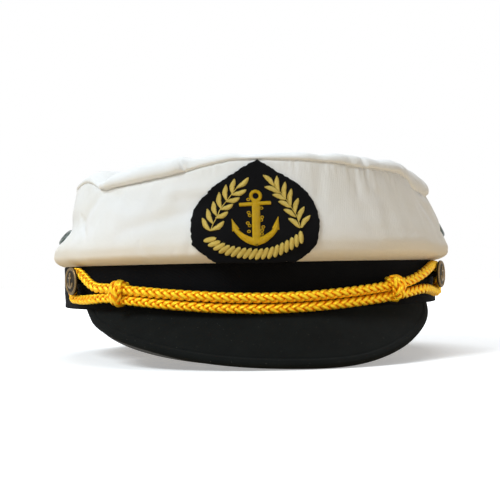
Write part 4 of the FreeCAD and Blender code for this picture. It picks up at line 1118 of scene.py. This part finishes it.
# where each knot sits: degrees along the strands from where its slide starts, and mm over their middle
KNOT_REST = {"left": (0.2, 0.5), "right": (-1.1, 1.4)}


def knots():
    """The two sliding knots: three wraps of cord across both strands."""
    for side in ("left", "right"):
        middle, up = joint("right_knot_slide")
        up = -up if up.z < 0 else up
        low, high = (Vector(corner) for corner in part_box("knot_" + side))
        out = (low + high) / 2 - middle
        out = (out - up * out.dot(up)).normalized()
        degrees, raised = KNOT_REST[side]
        out = Matrix.Rotation(radians(degrees), 3, up) @ out
        along = up.cross(out) * (1 if side == "left" else -1)
        centre = middle + (out * KNOT_ARC + up * raised) * MM
        lines = []
        for shift, fan, front, start in KNOT_WRAPS:
            line = []
            for step in range(KNOT_STEPS + 1):
                angle = 2 * pi * step / KNOT_STEPS + start
                height = KNOT_ROUND * sin(angle) + KNOT_STRAIGHT * np.clip(3 * sin(angle), -1, 1)
                forward = KNOT_FORWARD + KNOT_ROUND * cos(angle) + front * max(0.0, cos(angle))
                across = shift + fan * height / (KNOT_ROUND + KNOT_STRAIGHT)
                line.append((centre + (along * across + up * height + out * forward) * MM) / MM)
            lines.append(line)
        base = line_piece("knot_lines", lines)
        knot = grow("chin_cord_knot_" + side, BRAID, base, Yarn=CORD_YARN, Core=0.00118, Width=0.00086, Turn=0.9)
        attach(knot, side + "_knot")
        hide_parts("knot_" + side)


FIELD_ROWS = 26
# a button's section from its middle: distance out and height over the band's cloth; first the domed field
BUTTON_FACE = [(r, 6.55 - 0.45 * (r / 4.9) ** 2) for r in np.linspace(0.12, 4.65, FIELD_ROWS)] + [
    (4.85, 6.12), (5.0, 6.28), (5.2, 6.44), (5.4, 6.5), (5.65, 6.44), (5.85, 6.28), (6.0, 6.05), (6.05, 5.8),
    (6.05, 5.4), (5.95, 5.2), (5.25, 5.2), (5.2, 5.45), (5.2, 5.7), (2.6, 5.7), (0.12, 5.7)]
BUTTON_CORNERS, RIM_CORDS = 120, 36
RIM_INNER, RIM_OUTER, RIM_FOOT = 4.8, 6.03, 5.75    # the corded rim lies between these radii, over this height
RELIEF_HEIGHT, CORD_HEIGHT = 0.30, 0.07


def anchor_relief(u, v):
    """How far the relief stands up at a place of the button's field, from 0 to 1."""
    relief = 0.0
    for (x0, y0), (x1, y1), half in ANCHOR_STROKES:
        along = ((u - x0) * (x1 - x0) + (v - y0) * (y1 - y0)) / ((x1 - x0) ** 2 + (y1 - y0) ** 2)
        along = min(1.0, max(0.0, along))
        away = np.hypot(u - x0 - along * (x1 - x0), v - y0 - along * (y1 - y0))
        relief = max(relief, min(1.0, max(0.0, 1.6 - away / half)))
    return relief


ANCHOR_STROKES = [((0.0, -2.7), (0.0, 2.0), 0.42), ((-1.35, 1.45), (1.35, 1.45), 0.34)] + [
    ((2.5 * sin(a), -0.35 - 2.5 * cos(a)), (2.5 * sin(a + 0.28), -0.35 - 2.5 * cos(a + 0.28)), 0.45)
    for a in np.arange(-1.26, 1.2, 0.28)] + [
    ((0.6 * sin(a), 2.75 - 0.6 * cos(a)), (0.6 * sin(a + 0.9), 2.75 - 0.6 * cos(a + 0.9)), 0.24)
    for a in np.arange(0, 6.2, 0.9)]


def button_faces():
    """Domed faces with a plain anchor in relief inside a corded rim."""
    for side in ("left", "right"):
        post, axis = joint(side + "_button_turn")
        axis = axis if axis.x * post.x > 0 else -axis
        up = (Vector((0, 0, 1)) - axis * axis.z).normalized()
        right = up.cross(axis)
        points, worn = [], []
        for index, (radius, height) in enumerate(BUTTON_FACE):
            rim = RIM_INNER < radius < RIM_OUTER and RIM_FOOT < height
            for turn in around(BUTTON_CORNERS):
                u, v = radius * cos(turn), radius * sin(turn)
                relief = anchor_relief(u, v) if index < FIELD_ROWS else 0.0
                corded = CORD_HEIGHT * sin(RIM_CORDS * turn + radius * 5) if rim else 0.0
                points.append(post / MM + axis * (height + RELIEF_HEIGHT * relief + corded) + right * u + up * v)
                worn.append(0.75 * relief + (0.7 + 4 * corded if rim else 0.1))
        faces = ring_faces(len(BUTTON_FACE), BUTTON_CORNERS)
        faces += [tuple(range(BUTTON_CORNERS))[::-1], tuple(range(len(points) - BUTTON_CORNERS, len(points)))]
        piece = facing_out(new_piece("button_relief_" + side, points, faces, BRASS))
        piece.data.attributes.new("worn", "FLOAT", "POINT").data.foreach_set("value", worn)
        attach(piece, side + "_button")
        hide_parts("button_face_" + side)


chin_cord()
knots()
button_faces()


# ---- badge: felt patch with satin-stitched anchor, branches and a rope under them -----------------

# the badge's felt: its outline, clockwise from the point at its top, and its middle
PATCH_EDGE = [(-2.9, 61.0), (1.0, 58.4), (5.0, 55.9), (9.4, 53.3), (13.4, 50.5), (16.7, 47.2), (19.0, 43.7),
              (20.5, 40.3), (21.3, 36.1), (21.1, 32.0), (20.5, 29.3), (19.6, 25.9), (18.2, 23.6), (15.5, 21.6),
              (12.4, 19.4), (11.0, 18.6), (-4.7, 18.4), (-20.6, 18.6), (-22.2, 19.4), (-24.7, 21.4), (-27.7, 23.8),
              (-30.1, 26.2), (-30.7, 29.3), (-30.8, 33.0), (-30.5, 36.8), (-29.4, 40.2), (-27.4, 43.6), (-24.7, 46.7),
              (-21.6, 49.7), (-17.4, 52.6), (-13.3, 55.2), (-8.5, 58.2)]
PATCH_MIDDLE = (-4.7, 36.0)
PATCH_HANG = 22.5                  # below this height the felt stands off the crown's undercut foot
FRONT_PLANE = -200.0               # drawings stand in this plane before they are laid on the crown
# rings of the felt: share of the way out to the edge, height over the crown's cloth
FELT_RINGS = [(share, 1.2) for share in (0.0, 0.2, 0.4, 0.55, 0.68, 0.8, 0.88, 0.94)] + [
    (0.975, 1.18), (0.992, 1.05), (1.0, 0.7), (0.998, 0.3), (0.985, 0.1), (0.7, 0.1), (0.35, 0.1), (0.0, 0.1)]
FELT_CORNERS, CUT_DEPTH, ROUGH_FROM = 300, 0.22, 0.9    # the cut edge's unevenness, and where on the way out it starts


def along_line(line, count=None, step=None, closed=False):
    """Even points along a smooth line through the given ones, so many or so far apart."""
    line = np.asarray(line, float)
    if closed:
        line = np.vstack([line, line[:1]])
    run = np.concatenate([[0], np.cumsum(np.linalg.norm(np.diff(line, axis=0), axis=1))])
    count = count or max(2, int(round(run[-1] / step)) + 1)
    at = np.linspace(0, run[-1], count, endpoint=not closed)
    return np.stack([np.interp(at, run, line[:, axis]) for axis in range(line.shape[1])], -1)


def laid_on(surface, x, z, lift):
    """The point over (x, z) of the crown's front, lifted squarely to the band's front arc; the foot hangs straight."""
    level = max(z, PATCH_HANG)
    hit = surface.ray_cast(Vector((x * MM, FRONT_PLANE * MM, level * MM)), Vector((0, 1, 0)))[0] / MM
    out = Vector((hit.x, hit.y + END_CENTRE, 0)).normalized()
    return hit + out * lift + Vector((0, 0, z - level))


def felt_patch(surface):
    """The closed felt shape; its cut edge is slightly uneven."""
    chance = np.random.default_rng(7)
    rough = np.convolve(chance.normal(0, 1, FELT_CORNERS + 10), [0.25, 0.5, 0.25], "same")[:FELT_CORNERS] * CUT_DEPTH
    away = along_line(PATCH_EDGE, count=FELT_CORNERS, closed=True) - PATCH_MIDDLE
    rings = []
    for share, lift in FELT_RINGS[1:-1]:
        reach = share + rough / np.linalg.norm(away, axis=1) * max(0.0, share - ROUGH_FROM) * 10
        rings += [laid_on(surface, x, z, lift) for x, z in PATCH_MIDDLE + away * reach[:, None]]
    top, foot = (laid_on(surface, *PATCH_MIDDLE, lift) for lift in (FELT_RINGS[0][1], FELT_RINGS[-1][1]))
    last, corners = len(rings) + 1, FELT_CORNERS
    turn = [(k, (k + 1) % corners) for k in range(corners)]
    faces = [(0, 1 + k, 1 + j) for k, j in turn]
    faces += [(r + k, r + corners + k, r + corners + j, r + j)
              for r in range(1, last - corners, corners) for k, j in turn]
    faces += [(last - corners + k, last, last - corners + j) for k, j in turn]
    return new_piece("badge_felt", [top, *rings, foot], faces, FELT)


STITCH_PITCH = 0.27
STITCH_PLACES = (-1.0, -0.62, 0.0, 0.62, 1.0)      # across the shape, from edge to edge


def heading(line):
    """The unit direction of a line at each of its points."""
    ahead = np.gradient(line, axis=0)
    return ahead / np.linalg.norm(ahead, axis=1, keepdims=True)


def satin(line, widths, slant, rise=0.55):
    """Stitches across a shape given by its middle line and its half widths along it: (x, z, lift) points."""
    stations = along_line(line, step=STITCH_PITCH)
    ahead = heading(stations)
    across = np.stack([ahead[:, 1], -ahead[:, 0]], -1)
    wide = np.interp(np.linspace(0, 1, len(stations)), np.linspace(0, 1, len(widths)), widths)
    stitches = []
    for index, (spot, t, n, w) in enumerate(zip(stations, ahead, across, wide)):
        w = w + (0.07 if index % 2 else -0.02)
        stitches.append([(*(spot + n * w * u + t * slant * w * u), 0.05 + rise * (1 - abs(u) ** 2.4))
                         for u in STITCH_PLACES])
    return stitches


LEFT_LEAVES = [((-23.0, 31.9), (-26.0, 37.0)), ((-22.8, 31.9), (-17.6, 35.5)), ((-21.9, 34.8), (-23.9, 40.7)),
               ((-20.7, 37.0), (-15.9, 39.4)), ((-20.3, 38.0), (-21.4, 43.7)), ((-18.4, 40.5), (-13.8, 42.5)),
               ((-18.4, 40.9), (-19.0, 47.4)), ((-16.1, 43.7), (-11.0, 45.1)), ((-16.1, 44.2), (-16.2, 50.4)),
               ((-13.8, 46.4), (-8.2, 48.3)), ((-13.6, 46.6), (-12.7, 52.8)), ((-11.9, 49.1), (-7.1, 53.3))]
RIGHT_LEAVES = [((13.7, 32.4), (17.3, 37.2)), ((12.9, 32.4), (8.5, 36.1)), ((12.7, 35.2), (15.1, 40.8)),
                ((11.4, 36.9), (6.8, 39.8)), ((11.5, 38.6), (12.9, 44.4)), ((9.6, 40.8), (4.9, 43.1)),
                ((9.8, 41.7), (10.3, 48.3)), ((7.5, 44.1), (2.7, 45.9)), ((7.7, 44.5), (7.9, 51.2)),
                ((5.3, 46.9), (-0.4, 49.2)), ((5.3, 47.6), (4.6, 53.7)), ((3.4, 49.7), (-0.9, 54.1))]
LEFT_STEM = [(-22.9, 32.0), (-21.9, 34.5), (-20.1, 37.5), (-19.1, 40.0), (-17.8, 41.9), (-16.1, 43.9),
             (-14.0, 46.6), (-11.9, 49.1)]
RIGHT_STEM = [(13.3, 32.4), (12.5, 35.2), (11.8, 37.6), (10.2, 40.3), (8.2, 43.8), (5.8, 46.9), (3.4, 49.7)]
LEAF_WIDTHS = [0.22, 0.55, 0.86, 0.98, 0.92, 0.68, 0.22]
ANCHOR_ARMS = [(-13.7, 32.9), (-12.1, 30.8), (-10.3, 29.1), (-7.7, 27.6), (-4.9, 26.8), (-1.7, 27.9), (1.4, 30.1),
               (2.6, 31.4), (3.7, 33.2)]
CHAIN_LINKS = [(-7.4, 44.3), (-7.5, 38.9), (-7.1, 37.7), (-8.0, 34.6), (-7.3, 33.5), (-7.7, 31.2), (-2.3, 40.6),
               (-2.2, 36.9), (-2.6, 35.7), (-1.9, 32.9), (-2.4, 31.6), (-2.6, 30.1)]
ROPE_LINE = [(-23.3, 28.2), (-21.3, 26.2), (-17.1, 23.9), (-11.1, 22.6), (-4.5, 21.9), (1.5, 22.5), (5.7, 24.1),
             (10.7, 26.6), (13.2, 28.4)]


def leaves(pairs, stem):
    """A branch: its stem, and leaves from foot to tip that bow to both sides."""
    stitches = [[(x, z, 0.22) for x, z in along_line(stem, count=30)]]
    for index, (foot, tip) in enumerate(pairs):
        bow = np.array([tip[1] - foot[1], foot[0] - tip[0]]) * (0.09 if index % 2 else -0.09)
        middle = (np.array(foot) + tip) / 2 + bow
        stitches += satin([foot, tuple(middle), tip], LEAF_WIDTHS, 0.5)
    return stitches


def anchor():
    """The anchor: arms, shank, stock, ring, flukes, and the chain's links beside the shank."""
    stitches = satin(ANCHOR_ARMS, [0.8, 0.95, 1.2, 1.4, 1.45, 1.4, 1.2, 0.95, 0.8], 0.1)
    stitches += satin([(-4.9, 26.3), (-4.4, 43.6)], [1.55, 1.6, 1.6, 1.55], 0.05, 0.75)
    stitches += satin([(-11.0, 42.2), (1.5, 42.8)], [0.72, 0.75, 0.75, 0.72], 0.0, 0.6)
    ring = [(-4.4 + 1.95 * sin(turn), 45.7 - 1.95 * cos(turn)) for turn in around(24) + [2 * pi]]
    stitches += satin(ring, [0.65, 0.65], 0.0, 0.5)
    for base, tip in (((-12.9, 31.9), (-14.3, 36.2)), ((3.1, 32.1), (4.3, 36.9))):
        stitches += satin([base, tip], [1.45, 1.0, 0.5, 0.15], 0.0, 0.5)
    return stitches + [[(x + 0.62 * cos(turn), z + 0.5 * sin(turn), 0.25) for turn in around(8) + [2 * pi]]
                       for x, z in CHAIN_LINKS]


ROPE_STEP, STROKE_HALF_LENGTH = 2.35, 2.3


def rope():
    """Slanting strokes side by side along the badge's foot, as a twisted rope."""
    stitches = []
    spots = along_line(ROPE_LINE, step=ROPE_STEP)
    for spot, t in zip(spots, heading(spots)):
        lean = (0.62 * t + 0.78 * np.array([-t[1], t[0]])) * STROKE_HALF_LENGTH
        stitches += satin([spot - lean, spot + lean], [0.45, 0.9, 1.0, 1.0, 0.9, 0.45], -0.5)
    return stitches


THREAD_WIDTH, THREAD_FLATNESS = 0.19, 0.62


def stitch_tree():
    """Lays drawn threads on a surface behind them, and gives each its thickness."""
    tree, given = new_tree("laid_stitches", Surface=bpy.types.Object, Width=0.00017, Thickness=0.00011,
                           Thread=bpy.types.Material)
    drawn = add(tree, "GeometryNodeMeshToCurve", given["Geometry"]).outputs[0]
    cloth = add(tree, "GeometryNodeObjectInfo", given["Surface"]).outputs["Geometry"]
    spot = add(tree, "GeometryNodeInputPosition").outputs[0]
    ray = add(tree, "GeometryNodeRaycast", cloth, None, spot, (0, 1, 0), 0.3, data_type="FLOAT")
    hit = ray.outputs["Hit Position"]
    flat = vector(tree, "MULTIPLY", vector(tree, "ADD", hit, (0, END_CENTRE * MM, 0)), (1, 1, 0))
    out = vector(tree, "NORMALIZE", flat)
    lifted = vector(tree, "ADD", hit, scaled(tree, out, carried(tree, "lift")))
    laid = add(tree, "GeometryNodeSetPosition", drawn, None, lifted).outputs[0]
    length = add(tree, "GeometryNodeSplineParameter").outputs["Length"]
    marked = stored(tree, facing(tree, laid, out), "along", length)
    tube = yarn_tube(tree, marked, given["Width"], given["Thickness"], 6)
    return close_tree(tree, tube, given["Thread"])


STITCHES = stitch_tree()


def embroider(name, stitches, cloth, thread_material, node):
    """A motif of drawn stitches laid on the felt as real threads."""
    base = line_piece(name + "_drawing", [[(x, FRONT_PLANE, z) for x, z, _ in stitch] for stitch in stitches])
    lift = base.data.attributes.new("lift", "FLOAT", "POINT")
    lift.data.foreach_set("value", [height * MM for stitch in stitches for _, _, height in stitch])
    piece = grow(name, STITCHES, base, Surface=cloth, Width=THREAD_WIDTH * MM,
                 Thickness=THREAD_WIDTH * THREAD_FLATNESS * MM, Thread=thread_material)
    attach(piece, "cap")
    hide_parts(node)


def badge():
    """The felt patch and its four motifs."""
    felt = felt_patch(crown_surface)
    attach(felt, "cap")
    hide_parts("badge_patch")
    for name, stitches, yarn, node in (
            ("badge_branch_of_the_left", leaves(LEFT_LEAVES, LEFT_STEM), PALE_THREAD, "badge_branch_left"),
            ("badge_branch_of_the_right", leaves(RIGHT_LEAVES, RIGHT_STEM), PALE_THREAD, "badge_branch_right"),
            ("badge_anchor_stitches", anchor(), DEEP_THREAD, "badge_anchor"),
            ("badge_rope_stitches", rope(), PALE_THREAD, "badge_thread_bar")):
        embroider(name, stitches, felt, yarn, node)


badge()


# ---- floor, lights and camera -------------------------------------------------------------------

# the floor's half width and its gap under the cap, in mm; its colours as seen, and as they light the cap, near and far
FLOOR_HALF, FLOOR_GAP = 3000.0, 0.3
FLOOR_SEEN, FLOOR_NEAR, FLOOR_FAR = (0.90, 0.90, 0.90), (0.84, 0.62, 0.34), (0.62, 0.58, 0.52)
SKY_LIGHT, SKY_SEEN = 0.26, 0.74         # how strongly the sky lights the cap, and what is added where it is seen


def seen(tree):
    """1 where the camera or a glossy surface looks straight at it, else 0."""
    path = add(tree, "ShaderNodeLightPath")
    return calc(tree, "MAXIMUM", path.outputs["Is Camera Ray"], path.outputs["Is Glossy Ray"])


def pale_stage():
    """A pale floor and backdrop that show white around the cap and keep its shadow; the floor's bounce is warm."""
    low, half = cad_box[0][2] / MM - FLOOR_GAP, FLOOR_HALF
    floor = new_piece("floor", [(-half, -half, low), (half, -half, low), (half, half, low), (-half, half, low)],
                      [(0, 1, 2, 3)], smooth=False)
    material, tree, shader = new_material("pale_floor", (0.9, 0.89, 0.87), 0.9, Specular_IOR_Level=0.0)
    direct = seen(tree)
    away = vector(tree, "LENGTH", add(tree, "ShaderNodeTexCoord").outputs["Object"])
    unseen = blend_colours(tree, fade(tree, away, 0.14, 0.32, 0.0, 1.0), FLOOR_NEAR, FLOOR_FAR)
    tree.links.new(blend_colours(tree, direct, unseen, FLOOR_SEEN), shader.inputs["Base Color"])
    strength = calc(tree, "MULTIPLY", direct, fade(tree, away, 0.18, 0.75, 0.35, 1.0))
    glow = add(tree, "ShaderNodeEmission", (1, 1, 1, 1), strength)
    both = add(tree, "ShaderNodeAddShader", shader.outputs[0], glow.outputs[0])
    tree.links.new(both.outputs[0], tree.nodes["Material Output"].inputs[0])
    floor.data.materials.append(material)
    world = bpy.data.worlds.new("studio")
    world.use_nodes = True
    tree = world.node_tree
    background = tree.nodes["Background"]
    tree.links.new(calc(tree, "ADD", calc(tree, "MULTIPLY", seen(tree), SKY_SEEN), SKY_LIGHT),
                   background.inputs["Strength"])
    background.inputs["Color"].default_value = (1.0, 1.0, 1.0, 1)
    bpy.context.scene.world = world


# lamps: name, place in metres, width, power, colour
LAMPS = [("key_upper_left", (-0.95, -0.62, 1.10), 0.6, 16.4, (0.87, 0.95, 1.0)),
         ("front_fill", (0.5, -1.2, 0.30), 0.9, 1.0, (1.0, 0.89, 0.68)),
         ("warm_low_right", (0.9, -0.6, 0.03), 0.5, 1.7, (1.0, 0.80, 0.52)),
         ("back_top", (0.05, 0.5, 1.05), 0.8, 8.0, (0.88, 0.94, 1.0))]
LAMP_AIM = Vector((0, 0, 0.03))


def softbox(name, position, size, power, colour):
    """A square lamp that faces the cap."""
    data = bpy.data.lights.new(name, "AREA")
    data.size, data.energy, data.color = size, power, colour
    lamp = show(name, data)
    lamp.location = position
    lamp.rotation_euler = (LAMP_AIM - Vector(position)).to_track_quat("-Z", "Y").to_euler()


# the camera: distance, turn and roll, height, focal length and the aim's shifts in 500ths of the frame's width
CAMERA_DISTANCE, CAMERA_TURN, CAMERA_ROLL, CAMERA_HEIGHT = 0.600, radians(4.25), radians(1.13), 0.015
FRAME, FOCAL, SHIFT_ACROSS, SHIFT_UP, SENSOR = 500, 1229.0, 0.8, 21.8, 36.0


def camera():
    """Level with the band, a little to the wearer's right of the middle, turned a degree about its own line."""
    forward = Vector((sin(CAMERA_TURN), cos(CAMERA_TURN), 0))
    right, up = Vector((cos(CAMERA_TURN), -sin(CAMERA_TURN), 0)), Vector((0, 0, 1))
    across = right * cos(CAMERA_ROLL) - up * sin(CAMERA_ROLL)
    upward = right * sin(CAMERA_ROLL) + up * cos(CAMERA_ROLL)
    aim = (forward + across * (SHIFT_ACROSS / FOCAL) + upward * (SHIFT_UP / FOCAL)).normalized()
    side = aim.cross(upward).normalized()
    data = bpy.data.cameras.new("camera")
    data.sensor_width = SENSOR
    data.lens = SENSOR * FOCAL / FRAME
    data.clip_start = 0.01
    viewer = show("camera", data)
    turn = Matrix((side, side.cross(aim), -aim)).transposed()
    viewer.matrix_world = Matrix.Translation(-forward * CAMERA_DISTANCE + up * CAMERA_HEIGHT) @ turn.to_4x4()
    bpy.context.scene.camera = viewer


pale_stage()
for lamp in LAMPS:
    softbox(*lamp)
camera()
bpy.context.scene.view_settings.view_transform = "Standard"
